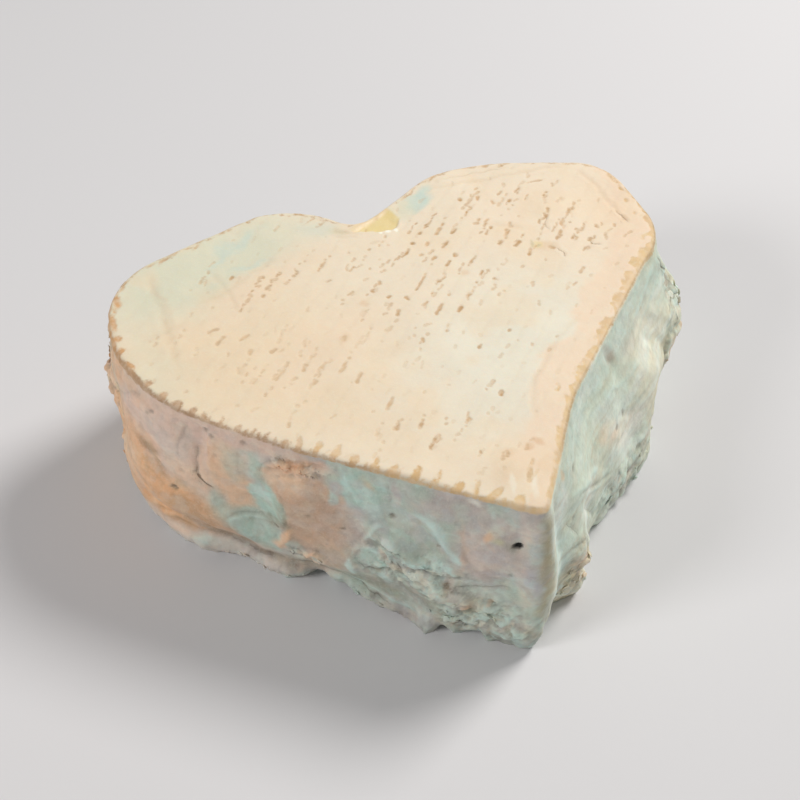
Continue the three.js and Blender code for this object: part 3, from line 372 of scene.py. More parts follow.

# Fine creases and ridges: half width, rise, how dark or light, and path. Dark is crack colour and
# painted shade in the crease, and light is a painted highlight on the ridge.
WALL_LINES = [
    (.55, -.25, .35, [(-117, 28), (-111, 33.5), (-104, 38.5), (-98, 43.5), (-93, 46.4)]),
    (.35, -.4, .45, [(-79.6, 38), (-79.9, 34), (-80.1, 31), (-79.8, 29.6)]),
    (.4, -.5, .9, [(-80.2, 32), (-80, 29.8), (-79, 27.8), (-76.8, 26), (-75.6, 25.8)]),
    (.6, .25, -.15, [(-77.8, 42), (-77.9, 36), (-78.2, 31), (-76.6, 28.4)]),
    (.4, -.25, .4, [(-99, 30.4), (-96, 28.4), (-93.3, 28.4), (-90, 27.2), (-87.4, 24.4)]),
    (.45, -.2, .25, [(-106, 22), (-101, 21.4), (-97, 19), (-92, 17)]),
    (.4, .25, -.15, [(-104, 18), (-99, 16.4), (-94, 16.6)]),
    (.45, -.25, .35, [(-81.6, 45), (-83, 40), (-84.4, 36), (-84.6, 32)]),
    (.4, .2, -.35, [(-82.6, 44), (-84, 39.6), (-85.4, 35.6)]),
    (.4, .22, -.45, [(-78.6, 38), (-78.9, 34), (-78.9, 30.4), (-76.6, 27.6)]),
    (.4, .25, -.5, [(-76.6, 30.6), (-76.9, 35), (-75.4, 38.4), (-71.6, 39.6), (-67.6, 39.4)]),
    (.35, -.2, .3, [(-68.6, 41.6), (-69.2, 38.4), (-68.2, 35.6)]),
    (.4, -.3, .4, [(-73.4, 17.6), (-70.4, 19.6), (-66.4, 20.4), (-63.4, 22)]),
    (.4, .25, -.5, [(-74, 16.6), (-70.6, 18.4), (-66.4, 19.2), (-62.6, 20.4)]),
    (.4, -.25, .35, [(-59, 32.6), (-58.2, 29), (-57.4, 25)]),
    (.35, .2, -.4, [(-93, 34.6), (-89.4, 32.6), (-86.4, 29.8)]),
    (.35, -.2, .25, [(-96, 24.4), (-91, 23.6), (-87, 20.6)]),
    (.4, -.2, .25, [(-88, 31), (-86, 29.4), (-82, 28.6)]),
    (.4, -.3, .4, [(-96, 7.4), (-92, 9.4), (-88, 11), (-84, 12.2), (-79.6, 12), (-74.8, 10)]),
    (.6, .2, -.2, [(-92, 11.6), (-85, 12.2), (-79, 12.2), (-74, 10.6)]),
    (.8, -.55, .4, [(-94, 6.8), (-88, 9), (-78.3, 9.2), (-73, 7.9), (-66.6, 6.5), (-58.6, 6.5),
        (-54, 5)]),
    (.4, -.2, .55, [(-77, 9.2), (-72, 7.4), (-66.6, 6), (-61, 5.7)]),
    (.6, -.55, .6, [(-60, 6.6), (-55, 7.4), (-48, 7.6), (-42, 7.4), (-37, 4.8), (-30, 3.2)]),
    (.4, .3, -.6, [(-43.6, 44), (-42.6, 40.6), (-41, 37.6), (-40.4, 34.8)]),
    (.4, -.25, .35, [(-34, 44.6), (-33.2, 40.6), (-33.6, 37.4)]),
    (.4, .3, -.6, [(-42.6, 19.4), (-40.4, 21.2), (-37, 21.6), (-34.4, 20.4)]),
    (.4, .3, -.6, [(-31, 20.4), (-28.4, 22), (-25, 22.4), (-21.4, 23.6)]),
    (.45, .45, -.7, [(-45, 9.2), (-38.7, 7), (-33, 5.8), (-30.2, 4.9), (-25.4, 5.8)]),
    (.45, -.4, .4, [(-63.6, 35.6), (-63.3, 38), (-62.8, 39.8), (-61.6, 41.4), (-58.6, 42.6),
        (-54, 44.6)]),
    (.45, -.3, .35, [(-55, 44.4), (-51, 44.8), (-47.6, 44.2)]),
    (.45, -.4, .3, [(-57.6, 26), (-58.4, 21), (-60.6, 17), (-62, 13)]),
    (.55, .6, -.5, [(-61.2, 11.4), (-59.4, 14.4), (-57.4, 18), (-56.8, 21)]),
    (.45, -.4, .5, [(-58.6, 11.2), (-56.6, 10.4), (-53, 10.6), (-47, 10)]),
    (.5, .55, -.5, [(-34.6, 32.8), (-37, 28.9), (-38.9, 24.9), (-39.6, 22)]),
    (.4, -.25, .25, [(-35.8, 33), (-38, 29.2), (-40, 25), (-40.8, 21)]),
    (.45, -.7, 1, [(-34.9, 24.8), (-33, 24.5), (-31.6, 25.2), (-29.8, 24.7)]),
    (.45, -.5, .6, [(-41, 17.4), (-38.6, 15.6), (-35.6, 16), (-33.4, 17.6), (-31.4, 18.4)]),
    (.4, -.45, .6, [(-31.6, 21.8), (-30.4, 19.6), (-29.6, 17.4), (-27.4, 16.4), (-25.4, 17.6)]),
    (.4, -.4, .5, [(-26.6, 21.2), (-24.4, 21.4), (-22, 20.6), (-20.4, 21)]),
    (.8, .4, -.5, [(-26.4, 38.8), (-23.2, 36.6), (-20.8, 32.4), (-19.2, 29.6), (-17, 27.7),
        (-13.6, 27.4)]),
    (.5, -.2, .15, [(-17.4, 39), (-16.8, 33), (-15.4, 28.6), (-11, 24.6), (-7, 24)]),
    (.35, -.35, .5, [(-18.4, 18.4), (-15, 19.4), (-11, 20.2), (-7, 21.5), (-4.6, 21.6)]),
    (.45, -.45, .5, [(-20.2, 7.4), (-18.4, 8), (-15.8, 8.8)]),
    (.4, -.4, .5, [(-21.4, 6.6), (-18, 6), (-15.3, 4.4), (-12.2, 6.6)]),
    (.45, .3, -.4, [(-21.2, 7.2), (-17.6, 7), (-14.6, 6)]),
    (.4, -.4, .5, [(-12, 11.4), (-8, 11), (-4.6, 12)]),
    (.4, -.35, .4, [(-11, 16.8), (-7.6, 14.6), (-4, 16)]),
    (.45, -.25, .3, [(2.8, 47), (3.2, 38.7), (3.4, 30), (3.4, 21), (4.2, 10)]),
    (.5, .2, -.2, [(6.4, 44), (7.4, 34), (8, 24), (9.6, 14)]),
    (.55, .4, -.6, [(12.2, 37.7), (17.3, 36.7), (22, 33.8), (28.6, 29.6), (36, 25.8)]),
    (.45, -.35, .35, [(13.4, 34.4), (18.7, 34.6), (23, 30.6), (28.6, 25.3), (38, 19.8), (47, 16.4)]),
    (.45, .3, -.5, [(20, 32), (24.6, 27.4), (30, 22.8), (38, 18.2)]),
    (.45, -.35, .4, [(17, 27.6), (20.4, 27), (25.8, 20.6), (32, 12.8), (34, 8)]),
    (.5, -.35, .4, [(12, 31), (14.4, 27.4), (15, 24)]),
    (.5, -.45, .4, [(9.6, 21.4), (12, 22.4), (16.4, 20.6), (19.6, 15), (22.4, 6)]),
    (.5, -.25, .35, [(37, 12.4), (39.5, 10.6), (43, 13), (47, 13.8), (53, 13.6), (60, 12.8)]),
    (.5, -.45, .5, [(35, 8.4), (40, 9.4), (45, 7.4), (51, 8.8), (57, 8.2)]),
    (.5, .35, -.4, [(38, 10.4), (44, 12.4), (50, 13), (58, 12.4)]),
    (.5, -.4, .45, [(44, 3.4), (50, 5.6), (56, 5), (61, 7)]),
    (.4, -.2, .25, [(52.4, 45.4), (53.2, 43), (54.6, 41.2), (57, 40.4)]),
    (.5, .35, -.4, [(49, 38), (53, 35.8), (59, 34.8), (64, 36)]),
    (.45, .25, -.5, [(66, 42), (74, 42.4), (82, 44.4), (89, 45.6)]),
    (.45, .25, -.4, [(64, 38), (72, 38.4), (80, 40.4), (86, 42.4)]),
    (.4, -.2, .2, [(70, 40.4), (78, 42.2), (86, 44.4)]),
    (.45, -.55, .8, [(89.4, 46), (90.2, 42), (92.4, 37), (93.6, 34)]),
    (.5, -.45, .6, [(96, 31), (99, 29.4), (101.6, 30.6), (103, 33)]),
    (.45, -.3, .4, [(104, 41), (106.4, 34), (107.6, 26), (110, 18)]),
    (.45, -.3, .35, [(100, 24), (102, 17), (101.4, 9)]),
]
# Scales of rind that stand proud: place, reach, turn and rise.
PLATES = [
    (-32.4, 26.2, 2.4, 1.2, 5, .8), (-36.6, 18.8, 3.6, 2.6, -20, .7), (-27, 23.2, 3.2, 1.7, 8, .5),
    (-27.6, 18.8, 2.2, 1.7, 15, .6), (-19.8, 23.4, 2.8, 2.2, -35, .5), (-23.4, 17.6, 2, 2.4, 20, .5),
    (-42.2, 14, 1.1, 2.6, 5, .6), (-16.2, 15.6, 2.4, 1.8, 30, .6), (-9, 17.6, 2.4, 1.6, -20, .5),
    (-5, 6.6, 3, 1.8, 15, .6), (-69.4, 15.6, 3.4, 2.6, -35, .4), (-50.4, 12.2, 2, 1.4, 0, .6),
    (49.6, 26, 5, 2.6, -25, .4), (45, 12.4, 3.4, 1.8, 20, .5), (54, 12.2, 3, 1.6, 0, .5),
    (15.6, 16, 3.4, 4, 0, .9), (14, 7.4, 4, 3, 10, .9), (92, 30, 3.4, 4.6, -20, .6),
    (-120, 31.5, 1.3, 1, 10, 1.5), (-117.5, 26.5, 1, .9, 0, 1.3), (-110.6, 17.7, 1.2, .8, 0, 1.2),
    (-121, 43.5, 1.5, 1, 0, 1.2), (92, 33, 1, .8, 0, 2.2), (91, 41, 1.4, .9, 0, 1.2),
    (87.6, 20.6, 4, 4.4, -20, 2), (-32.8, 27.4, 1.6, .8, 0, .7),
]
# Crumbling edges of rind: half width, rise and path.
CRUMBS = [
    (1.3, .6, [(-62.8, 37.4), (-61, 39.8), (-58, 41), (-53.6, 42.8), (-48.4, 43.4)]),
    (1, .5, [(-59.4, 35.6), (-57.4, 38), (-54, 39.6)]), (1.1, .8, [(-58, 12.6), (-53, 11.4), (-49, 12)]),
    (1.3, .9, [(-23, 13.4), (-17, 11.6), (-11, 14.4), (-4, 12.6)]),
    (1.2, .6, [(-20, 6.6), (-14, 7.6), (-7, 8), (-2, 5)]),
    (1.6, 1.1, [(12, 20), (16, 14), (19, 6), (21, 2)]), (1.5, .9, [(8, 12), (12, 6), (16, 2)]),
    (1.4, .8, [(44, 4.6), (52, 3.4), (60, 5.6)]), (1.2, .7, [(88, 42), (91, 34), (95, 26)]),
]

# Small pits and marks: place, reach, turn, depth and darkness. The darkness is the marks' brown
# together with painted shade inside the pits.
WALL_PITS = [
    (-86.2, 22.2, 1, .6, -5, .6, 1), (-60.9, 19.5, 1, .5, 0, .5, .95),
    (-91.6, 42.6, 1.1, .6, 35, .25, .45), (-93, 41.2, .6, .5, 0, .2, .35),
    (-77, 44, 1.3, .5, 60, .3, .55), (-75.6, 43, .6, .9, 0, .25, .45), (-67.4, 44.6, .7, .8, 0, .25, .4),
    (-80.6, 30, .5, .4, 0, .2, .35), (-32.6, 34.8, .75, .55, 0, .35, .8),
    (-44.4, 25.5, .85, .4, 25, .3, .75), (-52.4, 27.6, .5, .35, 0, .2, .35),
    (-22, 30, .55, .6, 0, .3, .75), (-5.4, 27.1, .7, .5, 20, .3, .7), (-19.2, 18.4, .9, .9, 0, .4, .6),
    (46.9, 28.7, .8, .9, 0, .3, .7), (51.6, 29.1, .7, .8, 0, .3, .6), (57.2, 14, 1.3, .7, 0, .15, .45),
    (19.2, 41.6, .9, .6, 30, .3, .45), (25.6, 44, 1.1, .4, 0, .25, .35),
    (106.2, 28.4, .5, 1.1, 0, .3, .6), (106, 25, .4, .8, 0, .3, .55), (15, 30, .6, .8, 0, .3, .45),
]
# The hole is painted near black all over, as painted shade inside it.
HOLE = (-4.7, 35.7, 0.9, 0.62, 15, 0.7)     # place, reach, turn and depth
# Gaps under the torn foot, and tongues of rind that hang out of it: place, half width, height, depth.
FOOT_GAPS = [
    (-51.6, 3, 5.4, 3), (-45, 2.6, 3.4, 2.6), (-19.8, 1.2, 2.4, 2), (-12, 1.2, 3.4, 2),
    (-23.8, .6, 1.5, -1.3), (-59.4, 1.2, 2, -.6), (-64.2, 1, 2, -.6), (2.4, 1.2, 8, 1.2),
    (9.6, 3.6, 3.4, 3),
]

# Where the rind is torn into scales and crumbs: place and reach.
FLAKY = [
    (-27, 19, 14, 7), (-11, 9, 11, 8), (-54, 42, 7, 3), (-53, 12, 6, 3), (16, 12, 7, 11),
    (49, 10, 13, 6), (76, 12, 14, 8), (93, 28, 7, 11), (-121, 30, 5, 14), (8, 8, 6, 7),
]

# The back and the cleft, which carry features like the front's, drawn from a seed.
BACK = {"seed": 31, "span": (112.0, 278.0), "fields": 64, "lines": 44, "pits": 16}
BACK_COLOURS = ["lavender", "mint", "grey mint", "wall peach", "cheek", "cream", "mauve",
                "olive cream", "cool mint", "column", "bright mint", "sand"]

# Where flakes and crumbs of rind stand off the wall: place, spread, how many and size.
FLAKES = [
    (-54, 42.6, 6, 1.8, 10, (.3, .6)), (-31, 22, 7, 4, 8, (.4, .8)), (-14, 12, 9, 5, 14, (.35, .8)),
    (-17.5, 6.6, 4, 1, 6, (.6, 1.3)), (-53, 11.6, 5, 1.4, 9, (.4, .9)), (-36, 4, 8, 1.4, 8, (.4, 1)),
    (-66, 3, 12, 1.6, 12, (.4, 1)), (-120, 36, 1.5, 6, 8, (.6, 1.2)), (-122, 26, 2, 6, 7, (.6, 1.3)),
    (-112, 12, 6, 6, 6, (.5, 1)), (16, 12, 5, 8, 22, (.4, 1.2)), (50, 7, 10, 4, 14, (.5, 1.2)),
    (72, 7, 12, 4, 12, (.5, 1.3)), (93, 30, 4, 8, 14, (.5, 1.4)), (84, 12, 6, 6, 8, (.5, 1.2)),
    (107, 24, 4, 12, 6, (.5, 1.1)), (150, 20, 32, 16, 22, (.4, 1.2)), (-160, 20, 30, 15, 22, (.4, 1.2)),
    (8, 6, 4, 4, 8, (.5, 1.1)),
]
FLAKE_SEED = 44

# ---- Finish and light ----

NUMBERS = ("relief", "mark", "crust", "moist", "hole", "crag", "crack", "side")   # for each point
TINTS = ("tint", "under", "veils")   # and these as three numbers each
VEIL_COLOURS = ("mauve", "bright mint", "sand")
TOP_VEILS = (0.03, 0.04, 0.04)       # how strongly each veil shows on the top
FOOT_VEILS = (0.06, 0.08, 0.10)      # and on the side that it rests on
TOP_CRAG = 0.1                       # how craggy the fine grain is
FOOT_CRAG = 0.3
FLAKE_CRAG = 0.6
FLAKE_VEIL = 0.15
SPOT_SHADE = (0.84, 0.82, 0.79, 1)   # what a darker spot multiplies the colour by
CRACK_SHADE = (0.36, 0.28, 0.21, 1)
RIND_FINISH = {
    "Specular IOR Level": 0.35, "Subsurface Weight": 0.12, "Subsurface Radius": (1.0, 0.7, 0.45),
    "Subsurface Scale": 1.0 * MM, "Sheen Weight": 0.10, "Sheen Roughness": 0.5,
}
FLOOR_REACH = 3.0
FLOOR_COLOUR = (0.72, 0.72, 0.74, 1)
SKY_COLOUR = (1.0, 0.985, 0.97, 1)
SKY_STRENGTH = 0.23
# Round lights that face the cheese: name, place, size, power and colour.
LIGHTS = [
    ("key", (0.66, 0.14, 0.78), 0.36, 7.8, (1.0, 0.97, 0.93)),
    ("fill", (-0.85, -0.10, 0.62), 0.36, 3.9, (1.0, 0.98, 0.96)),
]


# ---- Helpers ----

def bell(distance):
    """1 at no distance, falling smoothly to 0 by about 2."""
    return np.exp(-distance * distance)


def ease(low, high, value):
    """0 at low and 1 at high, with a smooth passage between; low may be the larger one."""
    share = np.clip((value - low) / (high - low), 0, 1)
    return share * share * (3 - 2 * share)


def scatter(cell, seed):
    """A number from 0 to 1 for each whole-number cell, the same on every run."""
    key = cell @ np.array([73856093, 19349663, 83492791]) + seed * 668265263
    key = (key ^ (key >> 13)) * 1274126177 & 0x7FFFFFFF
    key = (key ^ (key >> 15)) * 1103515245 & 0x7FFFFFFF
    return ((key >> 7) & 0xFFFFF) / 0xFFFFF


def value_noise(points, size, seed):
    """Smooth noise from 0 to 1 whose lumps are about size across."""
    cell = np.floor(points / size)
    share = points / size - cell
    share = share * share * (3 - 2 * share)
    cell = cell.astype(np.int64)
    total = np.zeros(len(points))
    for corner in np.ndindex(2, 2, 2):
        weight = np.prod(np.where(corner, share, 1 - share), axis=1)
        total += weight * scatter(cell + corner, seed)
    return total


def lumps(points, size, seed, layers=3):
    """Value noise with finer and weaker layers on top, mostly from 0.2 to 0.8."""
    total = np.zeros(len(points))
    weight, whole = 1.0, 0.0
    for layer in range(layers):
        total += weight * value_noise(points, size / 2 ** layer, seed + layer)
        whole += weight
        weight /= 2
    return total / whole


def soft_minimum(values, rounding):
    """The smallest of several values, with the corners between them rounded."""
    least = np.min(values, axis=0)
    return least - rounding * np.log(sum(np.exp((least - value) / rounding) for value in values))


def drift(points, size, amount, seed):
    """Two sideways shifts of up to about amount, which make drawn edges wander."""
    return [2 * amount * (lumps(points, size, seed + turn) - 0.5) for turn in (0, 40)]


def scale_heights(points, size, seed):
    """Plates about size across: a random height from 0 to 1 for each, and nearness to its edge."""
    cell = np.floor(points / size).astype(np.int64)
    nearest = np.full(len(points), 9.0)
    second = np.full(len(points), 9.0)
    height = np.zeros(len(points))
    for offset in np.ndindex(3, 3, 3):
        here = cell + np.array(offset) - 1
        centre = here + np.stack([scatter(here, seed + axis) for axis in range(3)], axis=1)
        gap = np.linalg.norm(points / size - centre, axis=1)
        closer = gap < nearest
        second = np.where(closer, nearest, np.minimum(second, gap))
        nearest = np.where(closer, gap, nearest)
        height = np.where(closer, scatter(here, seed + 7), height)
    return height, (second - nearest) * size


def blurred(grid, sigma, axis, mode):
    """Gaussian blur along one axis of a grid."""
    reach = int(math.ceil(3 * sigma))
    steps = np.arange(-reach, reach + 1)
    kernel = np.exp(-0.5 * (steps / sigma) ** 2)
    kernel /= kernel.sum()
    width = [(0, 0)] * grid.ndim
    width[axis] = (reach, reach)
    padded = np.pad(grid, width, mode=mode)
    total = np.zeros_like(grid)
    for weight, shift in zip(kernel, range(2 * reach + 1)):
        part = [slice(None)] * grid.ndim
        part[axis] = slice(shift, shift + grid.shape[axis])
        total += weight * padded[tuple(part)]
    return total


def blurred_wall(grid, sigma):
    return blurred(blurred(grid, sigma, 1, "wrap"), sigma, 0, "edge")


def linear(name):
    """A named colour as linear red, green and blue."""
    value = np.array(COLOURS[name]) / 255
    return np.where(value <= 0.04045, value / 12.92, ((value + 0.055) / 1.055) ** 2.4)


class Paint:
    """A colour for each point, laid on in layers."""

    def __init__(self, points, name):
        self.points = points
        self.colour = np.tile(linear(name), (len(points), 1))

    def lay(self, name, weight):
        self.colour += (linear(name) - self.colour) * np.clip(weight, 0, 1)[:, None]

    def shade(self, factor):
        self.colour *= factor[:, None]

    def lay_clouds(self, name, size, seed, low, high, weight):
        """Patches about size across: none where noise is below low, and full where it is above high."""
        self.lay(name, weight * ease(low, high, lumps(self.points, size, seed)))

    def mottle(self, amount, size, seed):
        self.shade(1 + amount * (lumps(self.points, size, seed) - 0.5))

    def lay_fields(self, fields, a, b):
        """Soft ellipses of colour. The wrap round the rim leaves places on the top as they are."""
        for *place, colour, strength, softness in fields:
            self.lay(colour, strength * field_weight(reached(a, b, place), softness))

    def coolness(self):
        """0 where the colour is warm, and 1 where it is minty."""
        return ease(0.72, 1.08, self.colour[:, 1] / self.colour[:, 0])


def turned(a, b, turn):
    """Coordinates, or two directions, in axes turned by an angle."""
    return a * math.cos(turn) + b * math.sin(turn), b * math.cos(turn) - a * math.sin(turn)


def ellipse(a, b, reach, degrees):
    """0 at the middle of an ellipse and 1 on its edge."""
    along, across = turned(a, b, math.radians(degrees))
    return np.hypot(along / reach[0], across / reach[1])


def reached(a, b, place):
    """The same for a place on the wall, given as (along, up, half width, half height, turn)."""
    return ellipse(wrap(a - place[0]), b - place[1], place[2:4], place[4])


def field_weight(radius, softness):
    return ease(1 + softness, 1 - softness, radius)


def path_gap(a, b, path):
    """Distance to a path, less than 0 on its right, and how far along it, as a share, that is."""
    gap = np.full(len(a), 1e9)
    share = np.zeros(len(a))
    lengths = [math.dist(p, q) for p, q in zip(path, path[1:])]
    run = 0.0
    for (p, q), length in zip(zip(path, path[1:]), lengths):
        da, db = (q[0] - p[0]) / length, (q[1] - p[1]) / length
        t = np.clip((a - p[0]) * da + (b - p[1]) * db, 0, length)
        here = np.hypot(a - p[0] - t * da, b - p[1] - t * db)
        side = np.where((b - p[1]) * da < (a - p[0]) * db, -1, 1)
        closer = here < np.abs(gap)
        gap = np.where(closer, here * side, gap)
        share = np.where(closer, (run + t) / sum(lengths), share)
        run += length
    return gap, share


class Cracks:
    """Hairlines: how strongly one shows near each point, and the signed distance to it."""

    def __init__(self, count):
        self.strength, self.side = np.zeros(count), np.full(count, CRACK_REACH)

    def add(self, ids, gap, share, strength):
        weight = strength * tapered(share) * ease(CRACK_REACH, 0.6 * CRACK_REACH, np.abs(gap))
        best = np.abs(gap) < np.abs(self.side[ids])
        self.strength[ids] = np.where(best, weight, self.strength[ids])
        self.side[ids] = np.where(best, gap, self.side[ids])


def tapered(share):
    """1 along most of a path, and 0 at its ends."""
    return ease(0, 0.18, share) * ease(1, 0.82, share)


def across_path(gap, half, share):
    """1 on the middle of a groove or ridge, and 0 beside it and at its ends."""
    return bell(gap / half) * tapered(share)


# ---- Rim outline ----

def corner_arc(before, corner, after):
    here = np.array(corner[:2], float)
    back = np.array(before[:2]) - here
    ahead = np.array(after[:2]) - here
    back /= np.linalg.norm(back)
    ahead /= np.linalg.norm(ahead)
    half = math.acos(back @ ahead) / 2
    middle = (back + ahead) / np.linalg.norm(back + ahead)
    centre = here + middle * corner[2] / math.sin(half)
    start = here + back * corner[2] / math.tan(half) - centre
    end = here + ahead * corner[2] / math.tan(half) - centre
    turn = math.atan2(start[0] * end[1] - start[1] * end[0], start @ end)
    angles = np.linspace(0, turn, max(3, int(abs(turn) * corner[2] / 0.3)))
    return centre + np.stack([
        start[0] * np.cos(angles) - start[1] * np.sin(angles),
        start[0] * np.sin(angles) + start[1] * np.cos(angles)], axis=1)


def make_outline():
    count = len(CORNERS)
    arcs = [corner_arc(CORNERS[i - 1], CORNERS[i], CORNERS[(i + 1) % count]) for i in range(count)]
    loop = np.vstack(arcs)
    loop = np.roll(loop, -loop[:, 1].argmin(), axis=0)
    loop = np.vstack([loop, loop[:1]])
    run = np.concatenate([[0], np.cumsum(np.linalg.norm(np.diff(loop, axis=0), axis=1))])
    return loop, run


RIM, RUN = make_outline()
LENGTH = RUN[-1]


def rim_point(along):
    place = np.mod(along, LENGTH)
    return np.stack([np.interp(place, RUN, RIM[:, 0]), np.interp(place, RUN, RIM[:, 1])], axis=-1)


def rim_normal(along):
    run = rim_point(along + NORMAL_SPAN) - rim_point(along - NORMAL_SPAN)
    run /= np.linalg.norm(run, axis=-1, keepdims=True)
    return np.stack([run[..., 1], -run[..., 0]], axis=-1)


def wrap(along):
    return along - LENGTH * np.round(along / LENGTH)


def nearest_rim(points):
    """How far points lie from the rim outline, and the distance round it of the nearest place."""
    places = np.linspace(0, LENGTH, 1600, endpoint=False)
    edge = rim_point(places)
    nearest = np.full(len(points), 1e9)
    along = np.zeros(len(points))
    for start in range(0, len(edge), 50):
        gap = np.linalg.norm(points[:, None, :2] - edge[None, start:start + 50], axis=2)
        best = gap.argmin(axis=1)
        least = gap[np.arange(len(points)), best]
        along = np.where(least < nearest, places[start + best], along)
        nearest = np.minimum(nearest, least)
    return nearest, wrap(along)


# ---- The large form, read off the solid ----

def solid_tree():
    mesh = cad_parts[NODE].data
    corners = [vertex.co.copy() / MM for vertex in mesh.vertices]
    faces = [tuple(face.vertices) for face in mesh.polygons]
    return BVHTree.FromPolygons(corners, faces)


def read_wall(tree, alongs, heights):
    """How far the solid's wall stands out from the rim outline, as a grid of heights by alongs."""
    feet = rim_point(alongs)
    normals = rim_normal(alongs)
    grid = np.zeros((len(heights), len(alongs)))
    for row, height in enumerate(heights):
        level = min(max(height, 0.1), HEIGHT - RIM_ROUND - 0.3)    # clear of both edges
        for column, (foot, normal) in enumerate(zip(feet, normals)):
            start = Vector((*(foot + normal * PROBE), level))
            found = tree.ray_cast(start, Vector((*-normal, 0)), 2 * PROBE)
            grid[row, column] = PROBE - found[3] if found[0] else 0
    return blurred_wall(grid, 1.7)


def read_top(tree):
    """Height of the solid's top on a grid of 1 mm, as a function of x and y."""
    xs, ys = (np.arange(-half, half + 1) for half in TOP_BOX)
    grid = np.full((len(ys), len(xs)), np.nan)
    for row, y in enumerate(ys):
        for column, x in enumerate(xs):
            found = tree.ray_cast(Vector((float(x), float(y), HEIGHT + PROBE)), Vector((0, 0, -1)))
            if found[0] and found[0].z > HEIGHT - TOP_BAND:
                grid[row, column] = found[0].z
    known = np.where(np.isnan(grid), 0.0, 1.0)
    heights = np.where(np.isnan(grid), 0.0, grid)
    for axis in (0, 1):
        heights = blurred(heights, 1.8, axis, "constant")
        known = blurred(known, 1.8, axis, "constant")
    heights = np.where(known > 1e-3, heights / np.maximum(known, 1e-3), HEIGHT)

    def height_at(x, y):
        column = np.clip(x - xs[0], 0, len(xs) - 1.001)
        row = np.clip(y - ys[0], 0, len(ys) - 1.001)
        c, r = column.astype(int), row.astype(int)
        a, b = column - c, row - r
        low = heights[r, c] * (1 - a) + heights[r, c + 1] * a
        high = heights[r + 1, c] * (1 - a) + heights[r + 1, c + 1] * a
        return low * (1 - b) + high * b

    return height_at


# ---- Rings of points ----

FOOT, WALL, CROWN, TOP = 0, 1, 2, 3      # zones of the surface


class Rind:
    """Points of the rind ring by ring: where each lies, and which way is out."""

    def __init__(self):
        self.points, self.outward, self.along, self.up, self.zone = [], [], [], [], []
        self.rings = []
        self.count = 0

    def add_ring(self, points, outward, along, zone):
        count = len(points)
        self.rings.append((self.count, count))
        self.count += count
        self.points.append(points)
        self.outward.append(np.broadcast_to(outward, points.shape))
        self.along.append(wrap(along))
        self.up.append(points[:, 2])
        self.zone.append(np.full(count, zone))

    def gather(self):
        for name in ("points", "outward", "along", "up", "zone"):
            join = np.vstack if name in ("points", "outward") else np.concatenate
            setattr(self, name, join(getattr(self, name)))

    def part(self, *zones):
        return np.flatnonzero(np.isin(self.zone, zones))


def lay_rings(tree):
    rind = Rind()
    alongs = np.linspace(0, LENGTH, COLUMNS, endpoint=False)
    feet, normals = rim_point(alongs), rim_normal(alongs)
    level_out = np.column_stack([normals, np.zeros(COLUMNS)])
    wall_top = HEIGHT - RIM_ROUND
    heights = np.linspace(0, wall_top, int(wall_top / WALL_STEP))
    wall = read_wall(tree, alongs, heights)
    top_at = read_top(tree)

    # Under the cheese, from the middle out.
    foot_ring = feet + normals * wall[0][:, None]
    for share in np.arange(0.04, 0.985, FOOT_STEP / 60):
        count = max(8, int(COLUMNS * share ** 1.2 / 2))
        places = np.linspace(0, LENGTH, count, endpoint=False)
        x = np.interp(places, alongs, foot_ring[:, 0], period=LENGTH)
        y = np.interp(places, alongs, foot_ring[:, 1], period=LENGTH)
        ring = CENTRE + (np.stack([x, y], axis=1) - CENTRE) * share
        rind.add_ring(np.column_stack([ring, np.zeros(count)]), (0, 0, -1), places, FOOT)

    for row, height in enumerate(heights):
        ring = feet + normals * wall[row][:, None]
        rind.add_ring(np.column_stack([ring, np.full(COLUMNS, height)]), level_out, alongs, WALL)

    for angle in np.linspace(0, math.pi / 2, RIM_RINGS + 1)[1:]:
        out = wall[-1] * (1 - math.sin(angle)) - RIM_ROUND * (1 - math.cos(angle))
        ring = feet + normals * out[:, None]
        lift = (top_at(ring[:, 0], ring[:, 1]) - HEIGHT) * math.sin(angle)
        level = HEIGHT - RIM_ROUND * (1 - math.sin(angle)) + lift
        outward = level_out * math.cos(angle) + np.array([0, 0, math.sin(angle)])
        rind.add_ring(np.column_stack([ring, level]), outward, alongs, CROWN)

    span = np.linalg.norm(feet - CENTRE, axis=1).mean()
    share = 1.0
    while share > 2.5 * TOP_STEP / span:
        share -= TOP_STEP / span * (0.8 if share > 0.9 else 1.0)
        count = max(8, int(COLUMNS * TOP_FINER * share))
        places = np.linspace(0, LENGTH, count, endpoint=False)
        edge = rim_point(places) - rim_normal(places) * RIM_ROUND
        ring = CENTRE + (edge - CENTRE) * share
        level = top_at(ring[:, 0], ring[:, 1])
        rind.add_ring(np.column_stack([ring, level]), (0, 0, 1), places, TOP)

    rind.gather()
    return rind


def stitch(faces, lower, upper):
    """Join two closed rings, given as (first point, count), with triangles."""
    i = j = 0
    while i < lower[1] or j < upper[1]:
        a = lower[0] + i % lower[1]
        b = upper[0] + j % upper[1]
        if j == upper[1] or (i < lower[1] and (i + 1) / lower[1] <= (j + 1) / upper[1]):
            faces.append((a, lower[0] + (i + 1) % lower[1], b))
            i += 1
        else:
            faces.append((a, upper[0] + (j + 1) % upper[1], b))
            j += 1


def make_faces(rings):
    """Faces over rings of points, which small end rings close; a ring at the seam stays open."""
    start = rings[0][0]
    rings = [(first - start, count) for first, count in rings]
    faces = []
    for lower, upper in zip(rings, rings[1:]):
        if lower[1] == upper[1]:
            first, count = lower
            faces += [(first + i, first + (i + 1) % count,
                       upper[0] + (i + 1) % count, upper[0] + i) for i in range(count)]
        else:
            stitch(faces, lower, upper)
    for (first, count), way in ((rings[0], -1), (rings[-1], 1)):
        if count < COLUMNS:
            faces.append(tuple(range(first, first + count))[::way])
    return faces


# ---- The mat's marks ----

